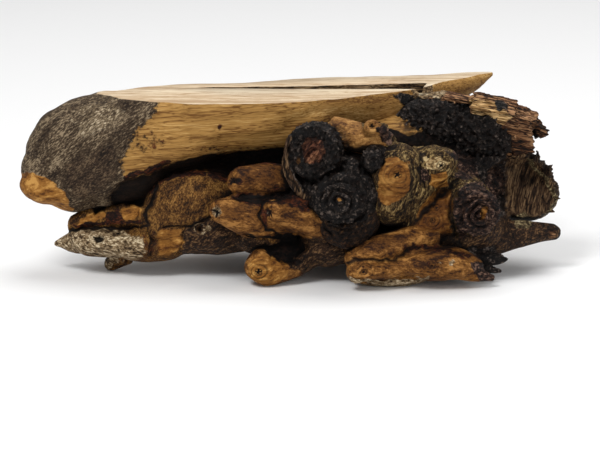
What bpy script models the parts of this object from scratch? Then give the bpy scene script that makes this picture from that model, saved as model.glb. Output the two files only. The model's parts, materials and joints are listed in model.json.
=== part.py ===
"""Burl turning blank: a short length of burled log with one sawn face, natural on every other side.

The log lies along X, +Y points away from the knobbly front, +Z is up, and the sawn face is level.
Sizes and places are in millimetres and are turned into Blender's metres as each form is made.
The blank is massed from egg-shaped lumps and rounded limbs. These are fused into one skin, which
gets its bark relief and pith dimples, and is then cut: the sawn face, the drying crack, the hollow
bark shell at the torn end and the small flats that the blank stands on.
"""

import math

import bmesh
import bpy
from mathutils import Matrix, Vector, noise

MM = 0.001

# Driving dimensions
SAWN_HEIGHT = 125.0
SKIN_VOXEL = 2.2
SKIN_SMOOTHING = 4
WARP = 2.2
WARP_REACH = 34.0
BARK_RELIEF = 3.0
BARK_GRAIN = 8.0
SWELLING = 1.6
SWELLING_REACH = 17.0
SKIN_FACETS = 10000
NOISE_SEED = 1
CRACK_DEPTH = 19.0
CRACK_TILT = 5.0
SLAB_REACH = (250, 200)
SLAB_THICKNESS = 40

# The middle of the blank's footprint on the drawing, which goes to the origin
MIDDLE = (0.0, -0.2)

# Bark-covered places: centre and reach
BARK = {
    "first_knob": ((20, -60, 97), 30),
    "second_knob": ((36, -66, 66), 31),
    "bark_flap": ((12, -52, 78), 16),
    "little_knob": ((56, -70, 92), 13),
    "dark_knob": ((126, -50, 52), 28),
    "torn_end": ((130, 0, 98), 45),
    "shell": ((160, 10, 66), 42),
}
BARK_EDGE_STEEPNESS = 2.5
FLUSH_CRUMB = 0.2

# Pith stars: the centre of each cut or worn shoot tip, the reach of its dimple and its depth
PITHS = {
    "upper_finger": ((-39, -61, 75), 6, 2.2),
    "left_finger": ((-52, -70, 54), 6.5, 2.5),
    "right_finger": ((-15, -74, 55), 6, 2.5),
    "foot_finger": ((-21, -66, 12), 5, 1.5),
    "first_knob": ((14, -72, 93), 14, 3.5),
    "second_knob": ((34, -84, 66), 8, 2.5),
    "domed_knob": ((73, -80, 83), 6.5, 2.5),
    "ringed_knob": ((104, -66, 86), 6, 2.5),
    "dark_knob": ((129, -68, 52), 9, 2.5),
    "small_ring": ((56, -68, 115), 4, 2.5),
    "worm_hole": ((-129, -37, 28), 4.5, 6.0),
}


def clear_scene():
    for old in list(bpy.data.objects):
        bpy.data.objects.remove(old)


def collection(name):
    made = bpy.data.collections.new(name)
    bpy.context.scene.collection.children.link(made)
    return made


def at(x, y, z):
    """A point of the drawing, in metres."""
    return Vector((x, y, z)) * MM


def ball(centre, radii, tilt=0, turn=0):
    """An egg-shaped lump. Tilt dips its +X end, and turn swings that end towards the back."""
    bpy.ops.mesh.primitive_uv_sphere_add(
        segments=28,
        ring_count=16,
        radius=1,
        location=at(*centre),
        rotation=(0, math.radians(tilt), math.radians(turn)),
        scale=Vector(radii) * MM,
    )
    return bpy.context.object


def limb(*stations, squash=1.0, round_tip=True):
    """A tapering limb through stations (x, y, z, radius). Squash flattens its section in height."""
    curve = bpy.data.curves.new("limb", "CURVE")
    curve.dimensions = "3D"
    curve.bevel_depth = MM
    curve.bevel_resolution = 5
    curve.use_fill_caps = True
    spline = curve.splines.new("BEZIER")
    spline.bezier_points.add(len(stations) - 1)
    for point, (x, y, z, radius) in zip(spline.bezier_points, stations):
        point.co = at(x, y, z / squash)
        point.radius = radius
        point.handle_left_type = point.handle_right_type = "AUTO"
    spline.resolution_u = 6
    guide = bpy.data.objects.new("limb", curve)
    tube = bpy.data.meshes.new_from_object(guide)
    bpy.data.objects.remove(guide)
    bpy.data.curves.remove(curve)
    tube.transform(Matrix.Diagonal((1, 1, squash, 1)))
    made = bpy.data.objects.new("limb", tube)
    bpy.context.scene.collection.objects.link(made)
    if round_tip:
        x, y, z, radius = stations[-1]
        ball((x, y, z), (radius, radius, radius * squash))
    return made


def log_forms():
    """The sawn log: a blunt rounded left end, a straight middle and a thin wedge at the right."""
    ball((-147, -5, 80), (39, 34, 37.5))
    ball((-119, -6, 87.5), (47, 40, 41))
    ball((-82, -8, 101), (50, 39, 33), tilt=-12)
    limb(
        (-110, -6, 98, 37),
        (-60, -7, 114, 41),
        (-20, -1, 119, 40),
        (20, 17, 119, 40),
        (70, 35, 115, 32),
        (105, 54, 115, 20),
        (126, 66, 120, 11),
        (143, 75, 124, 3.5),
        squash=0.8,
    )
    ball((-167, -13, 60.5), (22.5, 19, 13), tilt=4)


def core_forms():
    """The mass behind the knobs, which joins everything."""
    ball((-60, 10, 52), (84, 38, 33))
    ball((-110, 6, 62), (44, 30, 26))
    ball((10, 10, 72), (70, 34, 40))
    ball((40, 8, 52), (74, 42, 40))
    ball((98, 10, 58), (52, 38, 36))
    ball((72, 0, 84), (44, 26, 24))


def lower_left_forms():
    """The smooth brown lobe, the ridge beside it and the grey weathered chunk with its tip."""
    ball((-66, -20, 52), (39, 32, 29), tilt=-6)
    ball((-84, -24, 42), (24, 22, 20))
    limb((-92, -20, 42, 15), (-112, -18, 43, 12), (-130, -15, 40, 10), (-148, -12, 32, 8))
    ball((-124, -16, 23.5), (30, 20, 13))
    limb((-130, -14, 25, 12), (-150, -11, 22, 8.5), (-163, -8, 19, 2.5))
    ball((-100, -18, 21.5), (34, 22, 13))
    limb((-115, -12, 13, 10), (-126, -7, 4, 6))
    ball((-58, -18, 31), (46, 26, 18))
    ball((-20, -34, 30), (21, 18, 12))


def finger_forms():
    """Peg-like shoots that point left, each with a pith star in its tip."""
    limb((5, -38, 70, 14), (-18, -48, 74, 12), (-33, -56, 75, 8.5))
    limb((2, -40, 42, 16), (-25, -54, 48, 13.5), (-46, -65, 54, 7.5))
    limb((24, -48, 44, 14), (4, -60, 51, 11.5), (-9, -69, 55, 7))
    limb((24, -32, 26, 13), (-2, -48, 17, 14), (-17, -54, 12.5, 14))
    ball((26, -34, 26), (30, 24, 17))


def knob_forms():
    """The thick cut-off shoots of the front: two bark-rimmed, the others domed."""
    limb((36, -26, 106, 20), (24, -50, 100, 22), (15, -69, 94, 20.5), round_tip=False)
    limb((46, -30, 70, 26), (38, -60, 67, 25), (34, -72, 66, 17))
    ball((40, -58, 48), (22, 20, 22))
    ball((12, -50, 80), (10, 12, 16))
    ball((22, -58, 62), (15, 14, 17))
    limb((32, -34, 109, 12), (48, -44, 106, 12), (64, -48, 101, 10))
    limb((56, -48, 106, 7), (56, -62, 112, 5), (56, -67, 115, 4.4), round_tip=False)
    limb((61, -50, 90, 10), (56, -71, 92, 7.5))
    limb((84, -30, 58, 22), (78, -50, 72, 22), (72, -60, 80, 19))
    ball((70, -52, 62), (18, 22, 20))
    limb((84, -28, 84, 20), (98, -42, 83, 17), (103, -52, 84, 12))
    limb((108, -14, 50, 24), (118, -40, 52, 23), (126, -54, 52, 17))
    ball((96, -42, 46), (25, 22, 17), tilt=-25)


def bottom_forms():
    """The pale lobes along the bottom of the front."""
    limb((100, -50, 36, 9), (78, -60, 31, 10), (60, -66, 28, 10.5), (44, -68, 22, 7.5))
    limb((82, -60, 18, 9), (62, -69, 16, 8), (46, -72, 12.5, 8))
    ball((100, -57, 16), (34, 20, 11.5), tilt=2)
    limb((118, -60, 13, 9), (138, -61, 7, 3))
    ball((68, -54, 8), (28, 14, 9))


def broken_end_forms():
    """The torn right end: bark-covered wood, two splinters, a bark shell and a prong."""
    ball((100, 10, 101), (32, 27, 21))
    ball((132, 8, 95.5), (34, 24, 20), tilt=12)
    ball((144, 4, 91), (17, 18, 15))
    limb((116, 24, 111, 8), (148, 20, 108.5, 6.5), (168, 16, 102.5, 5))
    limb((150, 20, 102, 6), (164, 16, 98, 6), (173, 14, 94, 4.5))
    ball((150, 8, 60), (40.5, 30, 25.5), tilt=25)
    limb((128, -22, 26, 16), (152, -16, 26, 10.5), (183, -9, 27.5, 6.2))
    ball((110, -12, 34), (44, 36, 27))
    limb((118, -30, 18, 10), (136, -34, 14, 6), (146, -36, 14, 3))


def back_forms():
    """The unseen side: the log's own back, a few knobs and the mass that carries the back foot."""
    ball((-96, 20, 66), (44, 24, 30), turn=10)
    ball((-44, 34, 50), (52, 28, 36), turn=14)
    ball((38, 44, 44), (54, 30, 38), turn=10)
    ball((104, 44, 62), (36, 28, 34))
    ball((50, 44, 20), (30, 22, 21))
    limb((-30, 40, 62, 22), (-36, 58, 58, 17))
    limb((4, 48, 44, 20), (2, 66, 38, 15))
    limb((44, 54, 74, 22), (48, 72, 70, 16))
    limb((84, 52, 46, 20), (92, 68, 42, 15))
    limb((-74, 30, 44, 16), (-82, 44, 40, 11))
    limb((66, 62, 96, 16), (70, 74, 92, 11))


def joined_forms():
    """All the forms in the scene as one mesh, gently warped so that none keeps its exact shape."""
    bpy.ops.object.select_all(action="SELECT")
    bpy.context.view_layer.objects.active = bpy.context.selected_objects[0]
    bpy.ops.object.join()
    massed = bpy.context.object
    massed.data.transform(massed.matrix_world)
    massed.matrix_world = Matrix.Identity(4)
    for vertex in massed.data.vertices:
        vertex.co += noise.noise_vector(vertex.co / MM / WARP_REACH) * WARP * MM
    return massed


def fused_skin(massed):
    """One closed skin round all the forms."""
    fuse = massed.modifiers.new("fuse", "REMESH")
    fuse.mode = "VOXEL"
    fuse.voxel_size = SKIN_VOXEL * MM
    soften = massed.modifiers.new("soften", "SMOOTH")
    soften.factor = 0.5
    soften.iterations = SKIN_SMOOTHING
    graph = bpy.context.evaluated_depsgraph_get()
    skin = bpy.data.meshes.new_from_object(massed.evaluated_get(graph))
    bpy.data.objects.remove(massed)
    return skin


def fade(distance, reach):
    """1 at the centre of a place, smoothly down to 0 at its reach."""
    share = min(1.0, distance / reach)
    return 1 - share * share * (3 - 2 * share)


def bark_cover(spot):
    """How far a place is under clinging bark: 0 on bare wood, 1 well inside a bark-covered place."""
    nearest = max(fade((spot - Vector(centre)).length, reach) for centre, reach in BARK.values())
    return min(1, BARK_EDGE_STEEPNESS * nearest)


def add_relief(skin):
    """Swells the skin unevenly, raises crumbled bark and sinks the dimples of the pith stars."""
    lifts = []
    for vertex in skin.vertices:
        spot = vertex.co / MM
        lift = SWELLING * noise.noise(spot / SWELLING_REACH)
        lift += BARK_RELIEF * bark_cover(spot) * (abs(noise.noise(spot / BARK_GRAIN)) - FLUSH_CRUMB)
        for centre, reach, depth in PITHS.values():
            lift -= depth * fade((spot - Vector(centre)).length, reach)
        lifts.append(vertex.normal * lift * MM)
    for vertex, lift in zip(skin.vertices, lifts):
        vertex.co += lift


def cutter(made, name, cutters):
    """Turns a form into a hidden cutter."""
    made.name = name
    for home in list(made.users_collection):
        home.objects.unlink(made)
    cutters.objects.link(made)
    made.display_type = "WIRE"
    made.hide_render = True
    return made


def slab(underside):
    """A level slab, wider than the blank, with its underside at a height."""
    low = at(-SLAB_REACH[0], -SLAB_REACH[1], underside)
    high = at(*SLAB_REACH, underside + SLAB_THICKNESS)
    bpy.ops.mesh.primitive_cube_add(size=1, location=(low + high) / 2, scale=high - low)
    return bpy.context.object


def crack_wedge():
    """The drying crack: a long sliver in plan that widens and deepens towards the torn end."""
    front_lip = [(-66, 17), (-30, 15.5), (10, 14), (50, 11), (92, 12)]
    back_lip = [(96, 33), (72, 30), (40, 24), (10, 19.5), (-30, 17.5)]
    outline = bpy.data.curves.new("crack", "CURVE")
    outline.dimensions = "2D"
    outline.fill_mode = "BOTH"
    outline.extrude = CRACK_DEPTH * MM
    spline = outline.splines.new("POLY")
    spline.points.add(len(front_lip + back_lip) - 1)
    for point, (x, y) in zip(spline.points, front_lip + back_lip):
        point.co = (*at(x, y, 0), 1)
    spline.use_cyclic_u = True
    guide = bpy.data.objects.new("crack", outline)
    sliver = bpy.data.meshes.new_from_object(guide)
    bpy.data.objects.remove(guide)
    bpy.data.curves.remove(outline)
    welded = bmesh.new()
    welded.from_mesh(sliver)
    bmesh.ops.remove_doubles(welded, verts=welded.verts, dist=0.01 * MM)
    bmesh.ops.recalc_face_normals(welded, faces=welded.faces)
    welded.to_mesh(sliver)
    welded.free()
    made = bpy.data.objects.new("crack", sliver)
    bpy.context.scene.collection.objects.link(made)
    made.location = (0, 0, SAWN_HEIGHT * MM)
    made.rotation_euler = (0, math.radians(CRACK_TILT), 0)
    return made


def wood():
    made = bpy.data.materials.new("burl_wood")
    made.use_nodes = True
    surface = made.node_tree.nodes["Principled BSDF"]
    surface.inputs["Base Color"].default_value = (0.26, 0.14, 0.055, 1)
    surface.inputs["Roughness"].default_value = 0.75
    return made


def main():
    clear_scene()
    noise.seed_set(NOISE_SEED)
    parts = collection("burl_turning_blank")
    cutters = collection("cutters")
    log_forms()
    core_forms()
    lower_left_forms()
    finger_forms()
    knob_forms()
    bottom_forms()
    broken_end_forms()
    back_forms()
    skin = fused_skin(joined_forms())
    add_relief(skin)
    skin.materials.clear()
    skin.materials.append(wood())
    blank = bpy.data.objects.new("burl_blank", skin)
    parts.objects.link(blank)
    thin = blank.modifiers.new("facets", "DECIMATE")
    thin.ratio = SKIN_FACETS / sum(len(face.vertices) - 2 for face in skin.polygons)
    cuts = {
        "sawn_face": slab(SAWN_HEIGHT),
        "crack": crack_wedge(),
        "shell_hollow": ball((163, -18, 60), (27, 31, 19.5), tilt=25),
        "standing_flats": slab(-SLAB_THICKNESS),
    }
    for name, made in cuts.items():
        cut = blank.modifiers.new(name, "BOOLEAN")
        cut.operation = "DIFFERENCE"
        cut.object = cutter(made, name, cutters)
    for made in (*parts.objects, *cutters.objects):
        made.location -= at(*MIDDLE, 0)


main()
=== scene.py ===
"""Looks of the burl turning blank: a short burled log, sawn on top and natural on every other side.

The blank is massed again from the drawing of the CAD solid, in pieces with a finer skin: the sawn log,
the wood behind it, the lobes at the lower left, the shoots, the bark-covered and the domed knobs, the
lobes underneath, the torn end and its bark shell. Each gets its relief, its bark and its finishes.
Places and sizes are in millimetres on the drawing. +X is along the grain, +Y away from the knobbly
front and +Z up. Marks that only the front shows are placed by their pixel in the 600 x 452 photo, and
sit on the skin that is seen there.
"""

import json
import math

import bpy
import numpy as np
from mathutils import Matrix, Vector, noise
from mathutils.bvhtree import BVHTree

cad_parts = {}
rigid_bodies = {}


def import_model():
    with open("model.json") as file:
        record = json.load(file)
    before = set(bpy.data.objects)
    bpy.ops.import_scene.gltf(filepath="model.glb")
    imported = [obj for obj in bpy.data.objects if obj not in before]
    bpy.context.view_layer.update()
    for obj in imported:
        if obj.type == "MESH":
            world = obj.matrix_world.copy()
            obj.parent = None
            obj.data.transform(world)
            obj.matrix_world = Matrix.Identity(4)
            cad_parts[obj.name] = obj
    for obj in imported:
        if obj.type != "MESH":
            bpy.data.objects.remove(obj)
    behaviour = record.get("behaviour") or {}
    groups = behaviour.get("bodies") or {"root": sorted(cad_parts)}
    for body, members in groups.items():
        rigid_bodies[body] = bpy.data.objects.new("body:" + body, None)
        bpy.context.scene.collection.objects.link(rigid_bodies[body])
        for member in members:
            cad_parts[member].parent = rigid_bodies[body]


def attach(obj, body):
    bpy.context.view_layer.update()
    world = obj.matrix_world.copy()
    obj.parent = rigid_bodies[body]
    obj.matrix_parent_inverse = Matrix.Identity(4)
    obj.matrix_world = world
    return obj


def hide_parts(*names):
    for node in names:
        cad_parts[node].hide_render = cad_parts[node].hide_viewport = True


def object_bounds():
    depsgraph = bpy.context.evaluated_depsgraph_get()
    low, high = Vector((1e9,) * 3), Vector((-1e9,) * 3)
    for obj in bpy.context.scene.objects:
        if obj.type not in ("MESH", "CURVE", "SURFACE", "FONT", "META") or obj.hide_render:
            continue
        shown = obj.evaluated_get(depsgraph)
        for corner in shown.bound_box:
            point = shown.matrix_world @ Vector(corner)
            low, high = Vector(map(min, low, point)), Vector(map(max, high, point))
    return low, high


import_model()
CAD_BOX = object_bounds()

MM = 0.001

# The drawing, as the CAD has it
MIDDLE = (0.0, -0.2)
NOISE_SEED = 1
SAWN_HEIGHT = 125.0
WARP = 2.2
WARP_REACH = 34.0
SWELLING = 1.6
SWELLING_REACH = 17.0
BARK_RELIEF = 3.0
BARK_GRAIN = 8.0
FLUSH_CRUMB = 0.2

# The photo's camera
PHOTO_SIZE = (600, 452)
PHOTO_PIXEL = 0.7
CAMERA_DISTANCE = 3.0
CAMERA_ELEVATION = 12.5
CAMERA_AIM = (7.0, 0.0, 29.5)
SENSOR = 36.0

# The front view of a piece: the size of the cells in which its nearest skin is found, in pixels, the
# thickness that counts as skin, and how far paint wraps round behind it, in millimetres
FRONT_CELL = 3.0
FRONT_SKIN = 4.0
FRONT_WRAP = 16.0

# How far painted outlines wander, in pixels, and over what length, in millimetres
WOBBLE = 3.0
WOBBLE_SIZE = 5.0

# How steep bark crumbs' sides are
LUMP_STEEPNESS = 1.6

# How far inside the CAD's box the skins stay, in metres
BOX_MARGIN = 0.00001

# How fine the forms are before they are fused, and the share of each smoothing pass
BALL_SEGMENTS = 28
BALL_RINGS = 16
LIMB_SIDES = 5
LIMB_STEPS = 6
SMOOTHING = 0.5

# The forms that are out and not yet fused into a piece
clay = []


# Places on the drawing


def at(x, y, z):
    """A point of the drawing, in metres, with the blank's middle at the origin."""
    return Vector((x - MIDDLE[0], y - MIDDLE[1], z)) * MM


def drawn(points):
    """The places on the drawing, in millimetres, of an array of points."""
    return points / MM + np.array((*MIDDLE, 0))


def camera_axes():
    """The photo camera's place and its right, up and backward directions."""
    elevation = math.radians(CAMERA_ELEVATION)
    back = Vector((0, -math.cos(elevation), math.sin(elevation)))
    right = Vector((1, 0, 0))
    place = Vector(CAMERA_AIM) * MM + back * CAMERA_DISTANCE
    return place, right, back.cross(right), back


# Modelling helpers


def deselect_all():
    bpy.ops.object.select_all(action="DESELECT")


def make_active(piece):
    deselect_all()
    piece.select_set(True)
    bpy.context.view_layer.objects.active = piece


def finish_with(piece, kind, **settings):
    """Puts a modifier on a piece and applies it."""
    make_active(piece)
    modifier = piece.modifiers.new(kind.lower(), kind)
    for name, value in settings.items():
        setattr(modifier, name, value)
    bpy.ops.object.modifier_apply(modifier=modifier.name)


def settle(piece):
    """Applies a piece's place, turn and size to its mesh."""
    make_active(piece)
    bpy.ops.object.transform_apply(location=True, rotation=True, scale=True)


def meshed(curve):
    """A curve's skin as a mesh. The curve itself is removed."""
    guide = bpy.data.objects.new("guide", curve)
    mesh = bpy.data.meshes.new_from_object(guide)
    bpy.data.objects.remove(guide)
    bpy.data.curves.remove(curve)
    return mesh


def ball(centre, radii, tilt=0, turn=0):
    """An egg-shaped lump. Tilt dips its +X end, and turn swings that end towards the back."""
    deselect_all()
    bpy.ops.mesh.primitive_uv_sphere_add(
        segments=BALL_SEGMENTS,
        ring_count=BALL_RINGS,
        radius=1,
        location=at(*centre),
        rotation=(0, math.radians(tilt), math.radians(turn)),
        scale=Vector(radii) * MM,
    )
    clay.append(bpy.context.object)


def limb(*stations, squash=1.0, round_tip=True):
    """A tapering limb through stations (x, y, z, radius). Squash flattens its section in height."""
    curve = bpy.data.curves.new("limb", "CURVE")
    curve.dimensions = "3D"
    curve.bevel_depth = MM
    curve.bevel_resolution = LIMB_SIDES
    curve.use_fill_caps = True
    spline = curve.splines.new("BEZIER")
    spline.bezier_points.add(len(stations) - 1)
    for point, (x, y, z, radius) in zip(spline.bezier_points, stations):
        point.co = at(x, y, z / squash)
        point.radius = radius
        point.handle_left_type = point.handle_right_type = "AUTO"
    spline.resolution_u = LIMB_STEPS
    tube = meshed(curve)
    tube.transform(Matrix.Diagonal((1, 1, squash, 1)))
    made = bpy.data.objects.new("limb", tube)
    bpy.context.scene.collection.objects.link(made)
    clay.append(made)
    if round_tip:
        x, y, z, radius = stations[-1]
        ball((x, y, z), (radius, radius, radius * squash))


def fuse(name, voxel, smoothing):
    """Joins the clay that is out into one named piece with a fine closed skin."""
    deselect_all()
    for form in clay:
        form.select_set(True)
    bpy.context.view_layer.objects.active = clay[0]
    bpy.ops.object.join()
    clay.clear()
    piece = bpy.context.object
    piece.name = piece.data.name = name
    settle(piece)
    points = vertex_places(piece)
    warped = [noise.noise_vector(spot) for spot in (drawn(points) / WARP_REACH).tolist()]
    place_vertices(piece, points + np.array(warped) * WARP * MM)
    finish_with(piece, "REMESH", mode="VOXEL", voxel_size=voxel * MM)
    finish_with(piece, "SMOOTH", factor=SMOOTHING, iterations=smoothing)
    return piece


# Vertices as arrays


def read_all(items, name, width=1):
    """One property of many items in one flat array, with as many numbers for each as its width."""
    values = np.empty(len(items) * width, dtype=np.float32)
    items.foreach_get(name, values)
    return values.astype(float)


def vertex_places(piece):
    return read_all(piece.data.vertices, "co", 3).reshape(-1, 3)


def vertex_normals(piece):
    return read_all(piece.data.vertex_normals, "vector", 3).reshape(-1, 3)


def place_vertices(piece, places):
    piece.data.vertices.foreach_set("co", places.astype(np.float32).ravel())
    piece.data.update()


def fade(distances, reach):
    """1 at no distance, smoothly down to 0 at the reach."""
    share = np.minimum(1, distances / reach)
    return 1 - share * share * (3 - 2 * share)


def nearness(spots, centre, reach):
    """1 at a place, smoothly down to 0 at its reach, which is a length or one for each axis."""
    return fade(np.linalg.norm((spots - np.array(centre)) / reach, axis=1), 1)


def rise(values, low, high):
    """0 below low, smoothly up to 1 above high."""
    share = np.clip((values - low) / (high - low), 0, 1)
    return share * share * (3 - 2 * share)


def grain_of(spots, size, stretch=(1, 1, 1)):
    """Smooth noise at the spots, about -1 to 1, with lumps of a size."""
    return np.array([noise.noise(spot) for spot in (spots / size / np.array(stretch)).tolist()])


def rough(spots, layers):
    """Some layers of noise together, each (height, size, stretch, how far its pattern is shifted)."""
    return sum(height * grain_of(spots + shift, size, stretch) for height, size, stretch, shift in layers)


def lumps_of(spots, size):
    """Rounded lumps of a size with sharp gaps between them: 1 on a lump's crown, 0 in a gap."""
    crowns = []
    for spot in (spots / size).tolist():
        near, far = noise.voronoi(spot)[0][:2]
        crowns.append(min(1, LUMP_STEEPNESS * (far - near)))
    return np.array(crowns)


# The forms of the drawing


def log_forms():
    """The sawn log: a blunt rounded left end, a straight middle and a thin wedge at the right."""
    ball((-147, -5, 79.5), (36.5, 34, 38.5))
    ball((-160, -8, 70), (28, 26, 22))
    ball((-138, -5, 84), (40, 36, 39))
    ball((-119, -6, 85.2), (50, 40, 41))
    ball((-82, -8, 101), (50, 39, 33), tilt=-12)
    limb(
        (-110, -6, 98, 37),
        (-60, -7, 114, 41),
        (-20, -4, 119, 41),
        (20, 13, 119, 42),
        (70, 33, 115, 33),
        (105, 54, 115, 20),
        (126, 66, 120, 11),
        (143, 75, 124, 3.5),
        squash=0.8,
    )
    limb((-98, -24, 93, 18), (-60, -22, 107, 18), (-20, -21, 108, 18), (14, -19, 107, 18))
    ball((-167, -13, 60.5), (21.5, 19, 12.5), tilt=4)


def core_forms():
    """The wood behind the knobs, which joins everything."""
    ball((-60, 10, 52), (84, 38, 33))
    ball((-110, 6, 62), (44, 30, 26))
    ball((10, 10, 72), (70, 34, 40))
    ball((40, 8, 52), (74, 42, 40))
    ball((98, 10, 58), (52, 38, 36))
    ball((72, 0, 84), (44, 26, 24))


def lower_left_forms():
    """The smooth brown lobe, the ridge beside it and the grey weathered chunk with its tip."""
    ball((-66, -20, 52), (39, 32, 29), tilt=-6)
    ball((-84, -24, 42), (24, 22, 20))
    limb((-92, -20, 42, 15), (-112, -18, 43, 12), (-130, -15, 40, 10), (-148, -12, 32, 8))
    ball((-124, -16, 23.5), (30, 20, 13))
    limb((-130, -14, 25, 12), (-150, -11, 22, 8.5), (-163, -8, 19, 2.5))
    ball((-100, -18, 21.5), (34, 22, 13))
    limb((-115, -12, 13, 10), (-126, -7, 4, 6))
    ball((-58, -18, 31), (46, 26, 18))
    ball((-20, -34, 30), (21, 18, 12))


def shoot_forms():
    """Peg-like shoots that point left, each with a pith star in its tip."""
    limb((5, -38, 68, 14), (-18, -48, 72, 13.5), (-33, -56, 74, 9.5))
    limb((2, -40, 44, 19), (-29, -55, 51, 17.5), (-46, -65, 54, 8.5))
    limb((24, -48, 46, 18), (3, -60, 52, 14.5), (-9, -69, 55, 7.5))
    limb((24, -32, 26, 13), (-2, -48, 17, 14), (-17, -54, 12.5, 14))
    ball((26, -34, 26), (30, 24, 17))


def barked_knob_forms():
    """The cut-off shoots that still have their bark, and the bark flap beside them."""
    limb((25, -26, 92, 16), (19, -50, 95, 19), (14.5, -69, 96, 20), round_tip=False)
    limb((46, -30, 70, 26), (38, -60, 67, 25), (34, -72, 66, 17))
    ball((40, -58, 48), (22, 20, 22))
    limb(
        (0, -54, 98, 3),
        (-2, -58, 88, 4),
        (1, -61, 78, 4.2),
        (6, -63, 69, 4),
        (12, -64, 62, 3),
        round_tip=False,
    )
    ball((12, -50, 80), (10, 12, 16))
    ball((22, -58, 62), (15, 14, 17))
    limb((61, -50, 90, 10), (56, -71, 92, 7.5))


def domed_knob_forms():
    """The knobs that have lost their bark, and the dark one at the right."""
    limb((28, -42, 104, 12), (46, -48, 102, 12), (63, -51, 99, 10))
    limb((62, -48, 104, 5), (63, -60, 110, 4), (63.5, -65, 112, 3.6), round_tip=False)
    limb((56, -48, 106, 7), (56, -62, 112, 5), (56, -67, 115, 4.4), round_tip=False)
    limb((84, -30, 58, 22), (78, -50, 72, 22), (72, -60, 80, 19))
    ball((70, -52, 62), (18, 22, 20))
    limb((84, -28, 72, 19), (98, -42, 80, 16), (103, -52, 84, 12))
    limb((108, -14, 50, 24), (118, -40, 52, 23), (126, -54, 52, 17))
    ball((96, -42, 46), (25, 22, 17), tilt=-25)


def bottom_forms():
    """The pale lobes along the bottom of the front."""
    limb((100, -50, 36, 9), (78, -60, 31, 10), (60, -66, 28, 10.5), (44, -68, 22, 7.5))
    limb((82, -60, 18, 9), (62, -69, 16, 8), (46, -72, 12.5, 8))
    ball((100, -57, 16), (34, 20, 11.5), tilt=2)
    limb((118, -60, 13, 9), (138, -61, 7, 3))
    ball((68, -54, 8), (28, 14, 9))


def torn_end_forms():
    """The torn right end: bark-covered wood, two splinters and a prong."""
    ball((100, 10, 101), (32, 27, 21))
    ball((132, 8, 95.5), (34, 24, 20), tilt=12)
    ball((144, 4, 91), (17, 18, 15))
    limb((116, 24, 111, 8), (148, 20, 108.5, 6.5), (168, 16, 102.5, 5))
    limb((150, 20, 102, 6), (164, 16, 98, 6), (173, 14, 94, 4.5))


def board(centre, size, tilt, lean):
    """A split-off board. Tilt dips its +X end, and lean raises its far edge."""
    deselect_all()
    bpy.ops.mesh.primitive_cube_add(
        size=1,
        location=at(*centre),
        rotation=(math.radians(lean), math.radians(tilt), 0),
        scale=Vector(size) * MM,
    )
    clay.append(bpy.context.object)


def splinter_forms():
    """The boards of the torn end, from its top edge down to the ones inside the shell."""
    board((141, -3, 114.5), (30, 17, 9), tilt=13, lean=38)
    board((157, 8, 108.5), (29, 12, 7), tilt=21, lean=25)
    board((172, 9, 99), (16, 8, 6), tilt=48, lean=20)
    board((160, 0, 95), (14, 18, 25), tilt=-8, lean=0)
    board((150, -2, 96), (14, 14, 26), tilt=12, lean=8)
    board((146, -6, 114.5), (8, 7, 3), tilt=-24, lean=20)
    board((117, 2, 120.5), (24, 12, 3.5), tilt=9, lean=16)
    board((99, 5, 121.5), (17, 9, 3), tilt=-3, lean=20)


# Points of the bark shell's torn rim: the root and tip of each, and how thick they are there
RIM_POINTS = [
    ((163, -5, 74), (164.5, -5, 86)),
    ((170, -4, 72), (172, -3.5, 85)),
    ((177, -2, 66), (183, -2, 74)),
    ((181, -2, 61), (189, -2, 62)),
    ((182, -4, 52), (190, -4, 49)),
    ((178, -8, 45), (186, -8, 41)),
]
RIM_ROOT = 4.5
RIM_TIP = 0.8


def shell_forms():
    """The bark shell, with the prong and the dark spikes below it."""
    ball((150, 8, 60), (40.5, 30, 25.5), tilt=25)
    limb((128, -22, 26, 16), (152, -16, 26, 10.5), (183, -9, 27.5, 6.2))
    ball((110, -12, 34), (44, 36, 27))
    for root, tip in RIM_POINTS:
        limb((*root, RIM_ROOT), (*tip, RIM_TIP), round_tip=False)
    limb((118, -30, 18, 10), (136, -34, 14, 6), (146, -36, 14, 3))
    limb((122, -40, 17, 5), (140, -42, 14, 3.5), (150, -43, 14.5, 1.4))
    limb((120, -38, 10, 5), (136, -40, 7, 3.5), (146, -41, 5.5, 1.4))


def back_forms():
    """The unseen side: the log's own back, a few knobs and the mass that carries the back foot."""
    ball((-96, 20, 66), (44, 24, 30), turn=10)
    ball((-44, 34, 50), (52, 28, 36), turn=14)
    ball((38, 44, 44), (54, 30, 38), turn=10)
    ball((104, 44, 62), (36, 28, 34))
    ball((50, 44, 20), (30, 22, 21))
    limb((-30, 40, 62, 22), (-36, 58, 58, 17))
    limb((4, 48, 44, 20), (2, 66, 38, 15))
    limb((44, 54, 74, 22), (48, 72, 70, 16))
    limb((84, 52, 46, 20), (92, 68, 42, 15))
    limb((-74, 30, 44, 16), (-82, 44, 40, 11))
    limb((66, 62, 96, 16), (70, 74, 92, 11))


# Relief

# Bark-covered places: centre and reach
BARK = {
    "first_knob": ((20, -60, 97), 30),
    "second_knob": ((36, -66, 66), 31),
    "knob_root": ((40, -64, 46), 24),
    "bark_flap": ((12, -52, 78), 16),
    "little_knob": ((56, -70, 92), 13),
    "dark_knob": ((126, -50, 52), 28),
    "torn_end": ((130, 0, 98), 45),
    "torn_root": ((98, -6, 98), 34),
    "shell": ((160, 10, 66), 42),
}
BARK_EDGE_STEEPNESS = 2.5

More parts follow.
